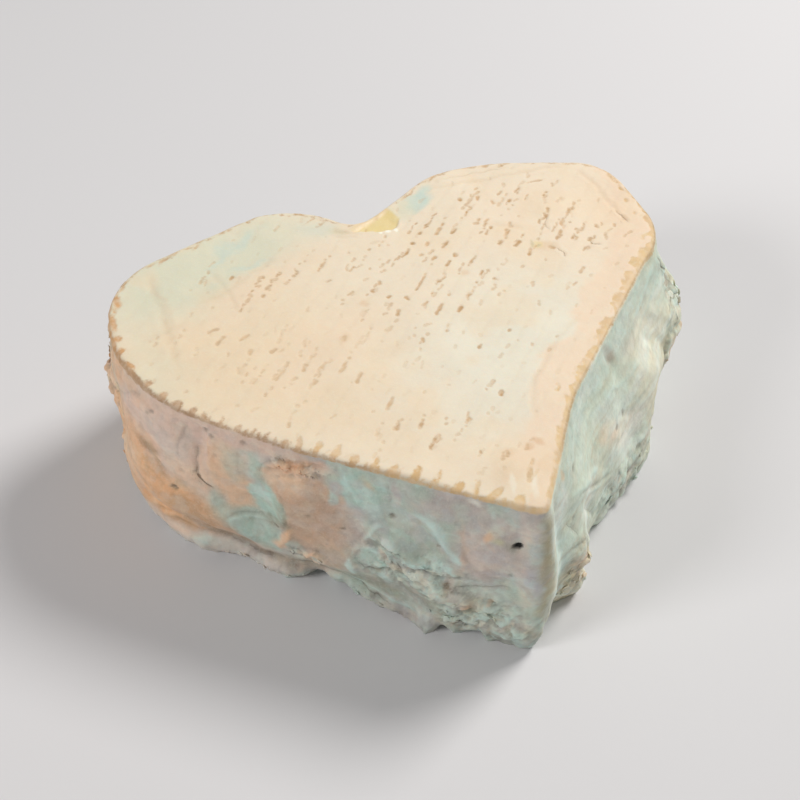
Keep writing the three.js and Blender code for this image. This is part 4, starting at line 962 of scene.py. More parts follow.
def mat_marks():
    """Marks as (x, y, length, half width, heading, strength): large, small in rows, and faint."""
    marks = [(x, y, length, half, MAT_TURN + math.radians(turn), 1.0)
             for x, y, length, half, turn in MARKS]
    random = np.random.default_rng(ROW_MARKS["seed"])

    def add(run, across, kind, strength):
        x, y = turned(run, across + random.normal(0, kind["stray"]), -MAT_TURN)
        length, half = random.uniform(*kind["length"]), random.uniform(*kind["half"])
        marks.append((x, y, length, half, MAT_TURN + random.normal(0, 0.3), strength))
        return length

    for x, y, reach, many, strength in MARK_ROWS:
        start, across = turned(x, y, MAT_TURN)
        for place in range(many):
            run = start + reach * (place + random.uniform(0.2, 0.8)) / many
            add(run, across, ROW_MARKS, strength * random.uniform(0.6, 1.3))
    random = np.random.default_rng(FAINT_MARKS["seed"])
    for row in range(-9, 15):
        run = -70 + random.uniform(0, 4)
        while run < 70:
            run += add(run, MAT_SHIFT + MAT_PITCH * row, FAINT_MARKS, random.uniform(-0.05, 0.3))
            run += random.uniform(*FAINT_MARKS["gap"])
    return marks


def mark_field(x, y, marks):
    """How strongly a mark shows: more than 0.5 inside one, and less outside."""
    field = np.zeros(len(x))
    for mx, my, length, half, heading, strength in marks:
        near = np.flatnonzero(np.hypot(x - mx, y - my) < length / 2 + 2)
        along, across = turned(x[near] - mx, y[near] - my, heading)
        past = np.maximum(np.abs(along) - length / 2 + half, 0)
        gap = np.hypot(past, across) - half * (1 + 0.18 * np.sin(2.6 * along + 7 * my))
        strength *= 0.5 + 0.5 * ease(-42, -16, my)
        field[near] = np.maximum(field[near], np.minimum(0.54 - gap / 1.3, 0.44 + 0.44 * strength))
    return np.clip(field, 0, 1)


# ---- The crust round the rim ----

def all_teeth():
    """Teeth as foot (x, y), length, half width and heading."""
    random = np.random.default_rng(SMALL_TEETH["seed"])
    found = [(rim_point(along), length, half, MAT_TURN + math.radians(turn))
             for along, length, half, turn in TEETH]
    along = SMALL_TEETH["from"]
    while along < SMALL_TEETH["to"]:
        found.append((rim_point(along), random.uniform(*SMALL_TEETH["length"]),
                      random.uniform(0.3, 0.6), MAT_TURN + random.normal(0, 0.3)))
        along += random.uniform(*SMALL_TEETH["gap"])
    return found


def all_chips():
    """Chips of bare crust: large ones, and small ones round the back."""
    random = np.random.default_rng(SPECKS["seed"])
    chips = list(CHIPS)
    along = SPECKS["from"]
    while along < SPECKS["to"]:
        depth, long, wide = (random.uniform(*SPECKS[name]) for name in ("depth", "long", "wide"))
        chips.append((along, depth, long, wide, random.normal(0, 12)))
        along += random.uniform(*SPECKS["gap"])
    return chips


def crust_field(points, along, inward):
    """0.5 on the outline of the bare crust. Inward is the way in from the rim, less than 0 below."""
    stations = np.array(CRUST_STATIONS)
    width = np.interp(along, stations[:, 0], stations[:, 1], period=LENGTH)
    drop = np.interp(along, stations[:, 0], stations[:, 2], period=LENGTH)
    ragged = 2 * lumps(points, 3.0, 201) - 1 + 0.7 * (2 * value_noise(points, 1.2, 205) - 1)
    field = np.minimum(width * (1 + 0.8 * ragged) - inward, drop * (1 + 0.8 * ragged) + inward)
    shift = drift(points, 1.8, 0.8, 211)
    a, b = points[:, 0] + shift[0], points[:, 1] + shift[1]
    for foot, length, half, heading in all_teeth():
        near = np.flatnonzero((np.hypot(a - foot[0], b - foot[1]) < length + 2) & (inward > -0.6))
        run, across = turned(a[near] - foot[0], b[near] - foot[1], heading)
        taper = 0.95 * half * np.sqrt(np.clip(1.05 - np.clip(run / length, 0, 2) ** 3, 0.02, 1))
        gap = np.minimum(taper - np.abs(across), 0.8 * (length - run))
        field[near] = np.maximum(field[near], gap)
    for at, depth, long, wide, turn in all_chips():
        radius = ellipse(wrap(along - at) + shift[0], inward - depth + shift[1], (long, wide), turn)
        field = np.maximum(field, (1 - radius) * wide)
    return np.clip(0.5 + field / 2.4, 0, 1)


def under_colour(points, along, distance):
    """Colour of what shows where the bloom is gone, which changes round the rim."""
    paint = Paint(points, "mark")
    shift = 6 * (lumps(points, 9, 221) - 0.5)
    for at, reach, colour in CRUST_TONES:
        near = ease(1.1, 0.8, np.abs(wrap(along + shift - at)) / reach)
        paint.lay(colour, near * ease(7, 4, distance))
    paint.lay_clouds("sand", 2.2, 225, 0.45, 0.6, 0.5)
    front = ease(-112, -104, along) * ease(-30, -44, along)
    paint.lay("brown stain and shade", 0.7 * front * ease(1.6, 0.3, distance))
    paint.lay("warm ivory", 0.45 * front * ease(1.5, 3.4, distance))
    right = ease(14, 24, along) * ease(112, 104, along)
    paint.lay("edge brown", 0.7 * right * ease(0.6, 0.1, distance))
    paint.mottle(0.25, 1.5, 231)
    return paint.colour


# ---- Dressing the top ----

def bare_sides(x, y):
    """How far points lie inside the lower, the right and the upper edge of the bare place."""
    above = y - BARE_BOTTOM + BARE_FALL * x - BARE_CURL * np.maximum(x - BARE_STRAIGHT, 0) ** 2
    left_of = BARE_RIGHT - x - BARE_LEAN * (y - BARE_BOTTOM)
    below = BARE_CORNER[1] + BARE_RISE * (x - BARE_CORNER[0]) - y
    slopes = (BARE_FALL, BARE_LEAN, BARE_RISE)
    return [side / math.hypot(1, slope) for side, slope in zip((above, left_of, below), slopes)]


def dress_top(points):
    """Relief, colours, marks, crust and moistness of points of the top and the rounded rim."""
    x, y = points[:, 0], points[:, 1]
    flat = np.column_stack([x, y, np.zeros(len(x))])
    distance, along = nearest_rim(points)
    # Drawn edges wander: a, b are the places of broad things and c, d those of fine ones.
    broad, small = drift(flat, 10, 4.0, 101), drift(flat, 3, 1.4, 111)
    a, b = x + broad[0] + small[0], y + broad[1] + small[1]
    fine = drift(flat, 2.4, 0.6, 151)
    c, d = x + fine[0], y + fine[1]

    paint = Paint(flat, "ivory")
    paint.lay_fields([field for field in TOP_FIELDS if max(field[2:4]) >= SMALL_FIELD], a, b)
    gap, _ = path_gap(a, b, PEACH_BAND["path"])
    paint.lay("peach", 0.7 * ease(PEACH_BAND["half"] + 1.5, PEACH_BAND["half"] - 1.5, gap))
    paint.lay_fields([field for field in TOP_FIELDS if max(field[2:4]) < SMALL_FIELD], c, d)
    paint.lay_clouds("warm ivory", 11, 117, 0.5, 0.7, 0.4)
    paint.mottle(0.05, 6, 121)

    across = turned(x + 0.5 * small[0], y + 0.5 * small[1], MAT_TURN)[1] - MAT_SHIFT
    row_gap = np.abs(across - MAT_PITCH * np.round(across / MAT_PITCH))
    worn = ease(0.35, 0.6, lumps(flat, 9, 131))
    relief = -MAT_RISE * bell(row_gap / 0.7) * worn
    relief += 0.26 * (lumps(flat, 8, 141) - 0.5)
    relief += 0.08 * (lumps(flat, 2.2, 145) - 0.5)
    paint.lay("vein", 0.12 * bell(row_gap / 0.5) * worn)

    marks = mark_field(x + 0.6 * fine[0], y + 0.6 * fine[1], mat_marks())
    relief -= MARK_DEPTH * ease(0.42, 0.7, marks)
    cracks = Cracks(len(x))
    for half, fall, path in TOP_CRACKS:
        gap, share = path_gap(c, d, path)
        depth = across_path(gap, half, share)
        relief -= fall * depth
        relief += 0.35 * fall * bell((np.abs(gap) - 2.2 * half) / half) * tapered(share)
        paint.lay("mark", 0.8 * fall * depth)
        if half < CRACK_WIDE:
            cracks.add(slice(None), gap, share, min(1.0, 2.0 * fall))

    sides = bare_sides(c, d)
    _, left_of, below = sides
    edge = soft_minimum(sides, BARE_ROUND) + 0.6 * BARE_ROUND
    bare = ease(-0.35, 0.35, edge)
    relief -= BARE_DROP * bare * ease(0, 3.0, left_of) * ease(0, 1.5, below)
    rim_of_bare = bell((edge + 0.6) / 0.4) * ease(-1.5, 0.5, below) * ease(0, 2, left_of)
    relief += 0.14 * rim_of_bare
    paint.lay("bare paste", bare * (0.9 + 0.2 * (lumps(flat, 3, 161) - 0.5)))
    paint.lay("peach", 0.6 * bare * ease(2.4, 0.2, below))
    paint.lay("pale mint", 0.8 * bare * ease(1.0, 0.1, left_of))

    above_wall = points[:, 2] > HEIGHT - RIM_ROUND
    inward = np.where(above_wall, distance, 0) - np.maximum(0, CRUST_LEVEL - points[:, 2])
    crust = crust_field(points, along, inward) * (1 - bare)
    relief -= CRUST_DEPTH * ease(0.42, 0.66, crust)
    return {"relief": relief, "tint": paint.colour, "under": under_colour(points, along, distance),
            "mark": marks, "crust": crust, "moist": bare, "crag": np.full(len(x), TOP_CRAG),
            "veils": np.tile(TOP_VEILS, (len(x), 1)), "crack": cracks.strength, "side": cracks.side}


# ---- Dressing the wall ----

def back_features():
    """Colour fields, lines and pits of the back and the cleft."""
    random = np.random.default_rng(BACK["seed"])
    uniform = random.uniform
    fields, lines, pits = [], [], []
    for _ in range(BACK["fields"]):
        place = (uniform(*BACK["span"]), uniform(0, 47), uniform(2.5, 11), uniform(2, 9))
        colour = BACK_COLOURS[random.integers(len(BACK_COLOURS))]
        fields.append((*place, uniform(-50, 50), colour, uniform(0.3, 0.8), 0.45))
    for _ in range(BACK["lines"]):
        at = np.array([uniform(*BACK["span"]), uniform(3, 44)])
        heading = random.normal(0, 0.5) + (math.pi / 2 if uniform() < 0.35 else 0)
        reach = uniform(2, 8) * np.array([math.cos(heading), math.sin(heading)])
        bend = uniform(-1.5, 1.5, 2)
        rise = -uniform(0.25, 0.7) if uniform() < 0.7 else uniform(0.3, 0.5)
        path = [tuple(at - reach), tuple(at + bend), tuple(at + reach)]
        lines.append((uniform(0.45, 0.6), rise, -rise * 0.95, path))
    for _ in range(BACK["pits"]):
        place = (uniform(*BACK["span"]), uniform(6, 44), uniform(0.5, 1.3), uniform(0.4, 0.7))
        pits.append((*place, uniform(-60, 60), 0.35, uniform(0.4, 0.9)))
    return fields, lines, pits


class Wall:
    """The wall's points, in a grid of rows, with the relief, colours and cracks laid on so far."""

    def __init__(self, points, along, up, rows):
        self.points, self.along, self.up, self.rows = points, along, up, rows
        self.relief = np.zeros(len(points))
        self.cracks = Cracks(len(points))
        self.paint = Paint(points, "grey mint")
        self.right = ease(-1, 5, along) * ease(125, 108, along)
        self.left = 1 - self.right
        self.back = ease(106, 116, np.abs(wrap(along - 3)))
        # Drawn edges wander: a, b are the places of broad things and c, d those of fine ones.
        self.broad, self.small = drift(points, 8, 2.0, 301), drift(points, 2.4, 0.9, 311)
        self.fine = drift(points, 2.6, 0.6, 401)
        self.a, self.b = along + self.broad[0] + self.small[0], up + self.broad[1] + self.small[1]
        self.c, self.d = along + self.fine[0], up + self.fine[1]

    def noise(self, size, seed):
        """Layered noise from about -0.3 to 0.3."""
        return lumps(self.points, size, seed) - 0.5

    def near_path(self, a, b, path):
        """Points near a path, their distance from it and the share of its length."""
        near = np.flatnonzero(np.abs(wrap(self.along - path[len(path) // 2][0])) < 30)
        start = path[0][0] + wrap(a[near] - path[0][0])
        return near, *path_gap(start, b[near], path)

    def lay_colours(self, fields):
        paint, right, left = self.paint, self.right, self.left
        paint.lay_clouds("mauve", 15, 321, 0.42, 0.58, left)
        paint.lay("right mint", right)
        paint.lay_clouds("cool mint", 9, 325, 0.5, 0.62, 0.5 - 0.3 * right)
        paint.lay_clouds("cream", 7, 331, 0.5, 0.64, 0.2)
        paint.lay_fields(fields, self.a, self.b)
        paint.lay_clouds("mint", 4, 341, 0.52, 0.6, 0.3 * (0.25 + 0.75 * self.back))
        paint.lay_clouds("lip", 3, 345, 0.54, 0.62, 0.22 - 0.16 * right)
        cheek = ease(-40, -56, self.along) * ease(-150, -130, self.along)
        paint.lay_clouds("mauve", 5, 347, 0.52, 0.62, 0.25 * left * (1 - cheek))
        paint.lay_clouds("blue grey", 4, 353, 0.53, 0.62, (0.22 - 0.16 * right) * (1 - cheek))

    def lay_streaks(self):
        """Long streaks round the wall, strongest on its right. Gives where they run, and how strong."""
        run, across = turned(self.along, self.up + self.broad[1], STREAK_TURN)
        streak = lumps(np.column_stack([run / 8, across, 0 * run]), 2.2, 357) - 0.5
        streak *= 0.3 + 0.7 * self.right
        self.paint.lay("milk", 0.5 * self.right * ease(0.02, 0.25, streak))
        self.paint.lay("olive cream", 0.35 * self.right * ease(-0.05, -0.28, streak))
        self.paint.shade(1 + (0.22 - 0.10 * self.right) * streak)
        return run, across, streak

    def raise_scales(self):
        """Scales of three sizes in the flaky places. Gives how flaky each place is."""
        flaky = 0.14 + 0.5 * self.back * ease(0.45, 0.6, lumps(self.points, 14, 351))
        for x, y, wide, high in FLAKY:
            radius = np.hypot(wrap(self.a - x) / wide, (self.b - y) / high)
            flaky = np.maximum(flaky, field_weight(radius, 0.5))
        lift = flaky * (1 - 0.35 * self.right)
        shifts = drift(self.points, 3, 1.5, 361) + drift(self.points, 3, 1.5, 365)[:1]
        bent = self.points + np.stack(shifts, axis=1)
        paint = self.paint
        height, edge = scale_heights(bent, 4.4, 371)
        self.relief += lift * (0.55 * ease(0.5, 0.56, height) * ease(0.0, 0.4, edge) - 0.15)
        cool = paint.coolness()
        paint.lay("bright mint", 0.45 * flaky * cool * ease(0.66, 0.72, height))
        paint.lay("mauve", 0.40 * flaky * ease(0.24, 0.18, height))
        paint.shade(1 - 0.25 * flaky * ease(0.24, 0.04, edge))
        height, edge = scale_heights(bent, 2.1, 381)
        self.relief += 0.45 * lift * (height - 0.5) * ease(0.0, 0.3, edge)
        paint.lay("cream", 0.35 * flaky * ease(0.80, 0.86, height))
        paint.lay("olive grey", 0.30 * flaky * ease(0.16, 0.10, height))
        gaps = flaky * ease(0.24, 0.04, edge)
        paint.shade(1 + 0.20 * (0.25 + flaky) * (height - 0.5) - 0.2 * gaps)
        height, edge = scale_heights(bent, 1.1, 387)
        self.relief += 0.28 * lift * (height - 0.5) * ease(0.0, 0.3, edge)
        return flaky, cool

    def roughen(self, flaky, run, across, streak):
        """Lumps, crumbly grain and fine fibres along the streaks."""
        self.relief += 2 * (1 - 0.65 * self.right) * (0.30 + 0.2 * flaky) * self.noise(8, 391)
        self.relief += 2 * (0.10 + 0.12 * flaky) * self.noise(2.2, 395)
        fibre = lumps(np.column_stack([run / 10, across, 0 * run]), 0.8, 359, 2) - 0.5
        fibre *= 0.16 * (0.2 + 0.8 * self.right)
        self.paint.shade(1 + fibre)
        self.relief += 0.35 * streak + fibre

    def draw_lines(self, lines, cool):
        """Creases, which are sunk and painted dark, partly crack colour and partly painted shade,
        and ridges, which stand proud and carry a painted highlight.
        """
        for half, rise, tone, path in lines:
            near, gap, share = self.near_path(self.c, self.d, path)
            depth = across_path(gap, half, share)
            self.relief[near] += 0.75 * rise * depth
            weight = np.zeros(len(self.points))
            weight[near] = abs(tone) * depth * (0.22 if tone > 0 else 0.55)
            if tone > 0:
                self.paint.lay("dark", weight)
                self.cracks.add(near, gap, share, np.clip(1.5 * (tone - 0.3), 0, 1))
            else:
                self.paint.lay("bright mint", weight * cool)
                self.paint.lay("blush", weight * (1 - cool))

    def raise_plates(self):
        torn_edge = 0.6 * self.noise(1.4, 403)
        for *place, rise in PLATES:
            radius = reached(self.c, self.d + 0.4 * self.small[1], place)
            self.relief += 0.6 * rise * ease(1.10, 0.96, radius + torn_edge)

    def crumble(self, cool):
        """Crumbling edges of rind, with painted highlights on the raised crumbs and painted shade
        between them.
        """
        crumb = ease(0.42, 0.6, value_noise(self.points, 1.5, 405))
        crumbled = np.zeros(len(self.points))
        for half, rise, path in CRUMBS:
            near, gap, share = self.near_path(self.a, self.b, path)
            depth = across_path(gap, half, share)
            self.relief[near] += rise * depth * (crumb[near] - 0.25)
            crumbled[near] = np.maximum(crumbled[near], depth)
        self.paint.lay("milk", 0.4 * crumbled * crumb * cool)
        self.paint.lay("blush", 0.6 * crumbled * crumb * (1 - cool))
        self.paint.shade(1 - 0.12 * crumbled * (1 - crumb))

    def sink_pits(self, pits):
        for *place, deep, tone in pits:
            radius = reached(self.c, self.d, place)
            self.relief -= deep * bell(radius)
            # Brown of the mark together with painted shade inside the pit.
            self.paint.lay("dark", tone * 0.75 * ease(1.25, 0.6, radius))

    def sink_hole(self):
        """The small hole near the point, painted near black as painted shade. Gives 1 inside it."""
        *place, deep = HOLE
        radius = reached(self.along + 0.4 * self.fine[0], self.up + 0.4 * self.fine[1], place)
        self.relief -= deep * ease(1.5, 0.7, radius)
        return ease(1.35, 0.95, radius)

    def tear_foot(self):
        """The ragged foot, with gaps under it."""
        torn = lumps(self.points * np.array([1, 1, 0.25]), 2.2, 411)
        self.relief += (2.2 * torn - 1.2) * bell(self.up / 2.4)
        crimp = lumps(self.points * np.array([1, 1, 0.15]), 1.5, 415, 2) - 0.5
        crimp *= ease(8.0, 5.0, self.up)
        self.relief += 0.9 * crimp
        self.paint.shade(1 + 0.35 * crimp)
        for at, half, high, deep in FOOT_GAPS:
            self.relief -= deep * bell((self.along - at) / half) * bell(self.up / high)

    def finish(self):
        """Fade and smooth the relief, then lay painted highlights on what stands proud and painted
        shade on what lies deep.
        """
        self.relief *= ease(HEIGHT, HEIGHT - 2.0, self.up)
        relief = blurred_wall(self.relief.reshape(self.rows, -1), 0.5)
        self.relief = relief.ravel()
        cavity = (relief - blurred_wall(relief, 4.0)).ravel()
        paint, cool = self.paint, self.paint.coolness()
        # Painted highlights where the relief stands above its blur, and painted shade where it lies
        # below.
        proud = np.clip(cavity / 0.45, 0, 1)
        paint.lay("bright mint", 0.45 * proud * cool)
        paint.lay("wall peach", 0.50 * proud * (1 - cool))
        paint.shade(1 - (0.40 - 0.15 * self.right) * np.clip(-cavity / 0.55, 0, 1))
        # Painted shade on the lowest few millimetres of the wall, on part of the left side and round the
        # back.
        low = ease(7.5, 3.5, self.up) * ease(-62, -50, self.along)
        paint.shade(1 - 0.2 * low * self.left)
        paint.shade(1 + 0.10 * self.noise(3.5, 421) + 0.14 * self.noise(1.2, 425))
        return cool


def dress_wall(points, along, up, rows):
    """Relief, colours, crust and holes of points of the wall, which lie in so many rows."""
    wall = Wall(points, along, up, rows)
    fields, lines, pits = back_features()
    wall.lay_colours(fields + WALL_FIELDS)
    run, across, streak = wall.lay_streaks()
    flaky, cool = wall.raise_scales()
    wall.roughen(flaky, run, across, streak)
    wall.draw_lines(lines + WALL_LINES, cool)
    wall.raise_plates()
    wall.crumble(cool)
    wall.sink_pits(pits + WALL_PITS)
    hole = wall.sink_hole()
    wall.tear_foot()
    cool = wall.finish()

    crag = 0.45 + 0.55 * flaky
    mauve = 0.30 * (0.4 + 0.6 * cool) * (1 - 0.8 * wall.right)
    veils = np.stack((mauve, 0.05 + 0.38 * cool, 0.30 - 0.12 * cool), axis=1)
    return {"relief": wall.relief, "tint": wall.paint.colour, "hole": hole, "crag": crag,
            "under": under_colour(points, along, 0 * up), "veils": veils * crag[:, None],
            "crust": crust_field(points, along, up - CRUST_LEVEL),
            "crack": wall.cracks.strength, "side": wall.cracks.side}


def dress_foot(points):
    """Relief, colour and marks of the side it rests on."""
    x, y = points[:, 0], points[:, 1]
    count = len(x)
    shift = drift(points, 9, 5.0, 501)
    paint = Paint(points, "warm ivory")
    paint.lay_clouds("mint ivory", 22, 511, 0.5, 0.62, 0.7)
    paint.lay_clouds("peach", 17, 515, 0.5, 0.6, 0.6)
    paint.lay_clouds("sand", 9, 521, 0.55, 0.66, 0.4)
    paint.mottle(0.1, 4, 525)
    distance, _ = nearest_rim(points)
    marks = mark_field(-x, y, mat_marks()) * ease(4, 7, distance)
    wandered = np.column_stack([x + shift[0], y + shift[1], np.zeros(count)])
    hollow = 0.5 * ease(0.35, 0.7, lumps(wandered, 12, 531))
    hollow += 0.3 * ease(0.45, 0.7, marks)
    return {"relief": -hollow * ease(1.5, 6, distance), "tint": paint.colour, "mark": marks,
            "under": Paint(points, "mark").colour, "crag": np.full(count, FOOT_CRAG),
            "side": np.full(count, CRACK_REACH), "veils": np.tile(FOOT_VEILS, (count, 1))}


def dress(rind):
    """Fine relief and surface attributes of every point."""
    count = len(rind.points)
    values = {name: np.zeros(count) for name in NUMBERS}
    values.update({name: np.zeros((count, 3)) for name in TINTS})
    wall, top, foot = rind.part(WALL, CROWN), rind.part(CROWN, TOP), rind.part(FOOT)
    base, lean = rind.points, rind.outward[:, 2]
    # The wall's looks and the top's cross over on the rounded rim.
    of_wall, of_top = ease(0.95, 0.2, lean), ease(0.05, 0.8, lean)
    rows = len(wall) // COLUMNS
    for ids, weight, found in (
            (foot, np.ones(len(foot)), dress_foot(base[foot])),
            (wall, of_wall[wall], dress_wall(base[wall], rind.along[wall], rind.up[wall], rows)),
            (top, of_top[top], dress_top(base[top]))):
        for name, value in found.items():
            values[name][ids] += value * (weight if value.ndim == 1 else weight[:, None])
    crown = rind.part(CROWN)
    both = (of_wall + of_top)[crown]
    for name in ("relief", "crust", "crag", "side", *TINTS):
        values[name][crown] /= both if values[name].ndim == 1 else both[:, None]
    relief = values.pop("relief")

    # The points under the cheese follow the wall's lowest row.
    first_row = wall[:COLUMNS]
    edge = np.linalg.norm(base[first_row, :2] - CENTRE, axis=1)
    around = np.mod(rind.along[foot], LENGTH)
    places = np.linspace(0, LENGTH, COLUMNS, endpoint=False)
    span = np.interp(around, places, edge, period=LENGTH)
    share = np.linalg.norm(base[foot, :2] - CENTRE, axis=1) / span
    follow = np.interp(around, places, relief[first_row], period=LENGTH) * ease(0.75, 1.0, share)
    rind.points = base + rind.outward * relief[:, None]
    rind.points[foot, :2] += rim_normal(around) * follow[:, None]
    rind.points[:, 2] = np.maximum(rind.points[:, 2], 0)
    return values


# ---- Loose flakes ----


def make_flake(random, size):
    """A small curled plate as points and faces, lying across its own Z."""
    sides = int(random.integers(7, 10))
    angles = np.linspace(0, 2 * math.pi, sides, endpoint=False) + random.uniform(0, 1)
    radii = size * random.uniform(0.7, 1.15, sides)
    stretch = random.uniform(0.55, 1.0)
    curl = random.uniform(-0.2, 0.35)
    thick = random.uniform(0.16, 0.30)
    points = []
    for level in (0.5, -0.5):
        for share in (1.0, 0.55):
            x, y = radii * share * np.cos(angles), radii * share * stretch * np.sin(angles)
            z = curl * (x ** 2 + y ** 2) / size + level * thick * (0.5 if share == 1 else 1.0)
            points += list(zip(x, y, z))
        points.append((0, 0, level * thick))
    ring = 2 * sides + 1
    faces = []
    for i in range(sides):
        j = (i + 1) % sides
        faces += [(i, j, sides + j, sides + i), (sides + i, sides + j, 2 * sides)]
        faces += [(ring + j, ring + i, ring + sides + i, ring + sides + j),
                  (ring + sides + j, ring + sides + i, ring + 2 * sides), (j, i, ring + i, ring + j)]
    return np.array(points), faces


def scatter_flakes(rind, tint):
    """All flakes as points, faces and colours, each sunk a little into the dressed wall."""
    random = np.random.default_rng(FLAKE_SEED)
    wall = rind.part(WALL)
    rows = len(wall) // COLUMNS
    surface = rind.points[wall].reshape(rows, COLUMNS, 3)
    tints = tint[wall].reshape(rows, COLUMNS, 3)
    points, faces, colours = [], [], []
    count = 0
    for x, y, wide, high, many, sizes in FLAKES:
        for _ in range(many):
            along = x + wide * random.uniform(-1, 1)
            up = float(np.clip(y + high * random.uniform(-1, 1), *FLAKE_LEVELS))
            column = int(round(along / LENGTH * COLUMNS)) % COLUMNS
            row = min(max(int(up / (HEIGHT - RIM_ROUND) * (rows - 1)), 1), rows - 2)
            side = surface[row, (column + 2) % COLUMNS] - surface[row, column - 2]
            rise = surface[row + 1, column] - surface[row - 1, column]
            side, rise = side / np.linalg.norm(side), rise / np.linalg.norm(rise)
            out = np.cross(side, rise)
            size = random.uniform(*sizes)
            own, own_faces = make_flake(random, size)
            tilt, spin = random.uniform(-0.5, 0.5), random.uniform(0, 2 * math.pi)
            lean = side * math.cos(spin) + rise * math.sin(spin)
            across = np.cross(out, lean)
            lean, out = turned(lean, out, tilt)
            middle = surface[row, column] + out * random.uniform(-0.1, 0.1)
            placed = own @ np.stack([lean, across, out]) + middle
            placed[:, 2] = np.clip(placed[:, 2], 0.05, HEIGHT + 1)
            points.append(placed)
            faces += [tuple(index + count for index in face) for face in own_faces]
            tone = tints[row, column] * random.uniform(0.9, 1.12)
            colours.append(np.tile(np.minimum(tone, 1), (len(own), 1)))
            count += len(own)
    return np.vstack(points), faces, np.vstack(colours)


# ---- Material ----

class Nodes:
    """Short calls that add linked shader nodes to a material."""

    def __init__(self, material):
        self.tree = material.node_tree

    def add(self, kind, settings=None, **inputs):
        node = self.tree.nodes.new(kind)
        for name, value in (settings or {}).items():
            setattr(node, name, value)
        for name, value in inputs.items():
            self.feed(node.inputs[name.replace("_", " ")], value)
        return node

    def feed(self, socket, value):
        """Link an output, or set a value, which may be the name of a colour."""
        if isinstance(value, bpy.types.NodeSocket):
            self.tree.links.new(value, socket)
        else:
            socket.default_value = (*linear(value), 1.0) if isinstance(value, str) else value

    def math(self, operation, *values):
        node = self.add("ShaderNodeMath", {"operation": operation})
        for socket, value in zip(node.inputs, values):
            self.feed(socket, value)
        return node.outputs[0]

    def noise(self, place, size, detail, distortion=0.0, output="Fac", settings=None):
        """Noise from 0 to 1 whose lumps are about size millimetres across."""
        node = self.add("ShaderNodeTexNoise", settings, Vector=place, Scale=1 / (size * MM),
                        Detail=detail, Distortion=distortion)
        return node.outputs[output]

    def ramp(self, value, low, high, strength=1.0):
        """0 below low and strength above high."""
        node = self.add("ShaderNodeMapRange", {"interpolation_type": "SMOOTHSTEP"},
                        Value=value, From_Min=low, From_Max=high)
        return node.outputs[0] if strength == 1 else self.math("MULTIPLY", node.outputs[0], strength)

    def mix(self, share, first, second, blend="MIX"):
        node = self.add("ShaderNodeMix", {"data_type": "RGBA", "blend_type": blend})
        for index, value in ((0, share), (6, first), (7, second)):
            self.feed(node.inputs[index], value)
        return node.outputs[2]

    def parts(self, colour):
        """Red, green and blue of a colour."""
        return self.add("ShaderNodeSeparateColor", Color=colour).outputs

    def attribute(self, name, output="Fac"):
        return self.add("ShaderNodeAttribute", {"attribute_name": name}).outputs[output]


def rind_colour(nodes, place, grain, mottle, crag):
    """The painted tint, with veils of mould, shaded spots and a fine white bloom."""
    colour = nodes.attribute("tint", "Color")
    veils = nodes.parts(nodes.noise(place, 2.8, 5, 0.7, "Color"))
    shares = nodes.parts(nodes.attribute("veils", "Color"))
    for veil, share, name in zip(veils, shares, VEIL_COLOURS):
        colour = nodes.mix(nodes.ramp(veil, 0.50, 0.66, share), colour, name)
    shaded = nodes.mix(1.0, colour, SPOT_SHADE, "MULTIPLY")
    spots = nodes.ramp(mottle, 0.46, 0.78, nodes.math("MULTIPLY_ADD", crag, 0.6, 0.06))
    colour = nodes.mix(spots, colour, shaded)
    clouds = nodes.noise(place, 5.0, 3, 0.5)
    colour = nodes.mix(nodes.ramp(clouds, 0.5, 0.7, 0.12), colour, "cream")
    return nodes.mix(nodes.ramp(grain, 0.5, 0.72, 0.14), colour, "white")


def crack_share(nodes, mottle):
    """How dark a hairline is: by the distance to it, less where it is weak."""
    strength = nodes.attribute("crack")
    gap = nodes.math("ABSOLUTE", nodes.attribute("side"))
    gap = nodes.math("MULTIPLY_ADD", nodes.math("SUBTRACT", mottle, 0.5), 0.5, gap)
    depth = nodes.math("SUBTRACT", nodes.math("MULTIPLY_ADD", strength, 0.22, 0.06), gap)
    return nodes.ramp(depth, -0.08, 0.16, strength)


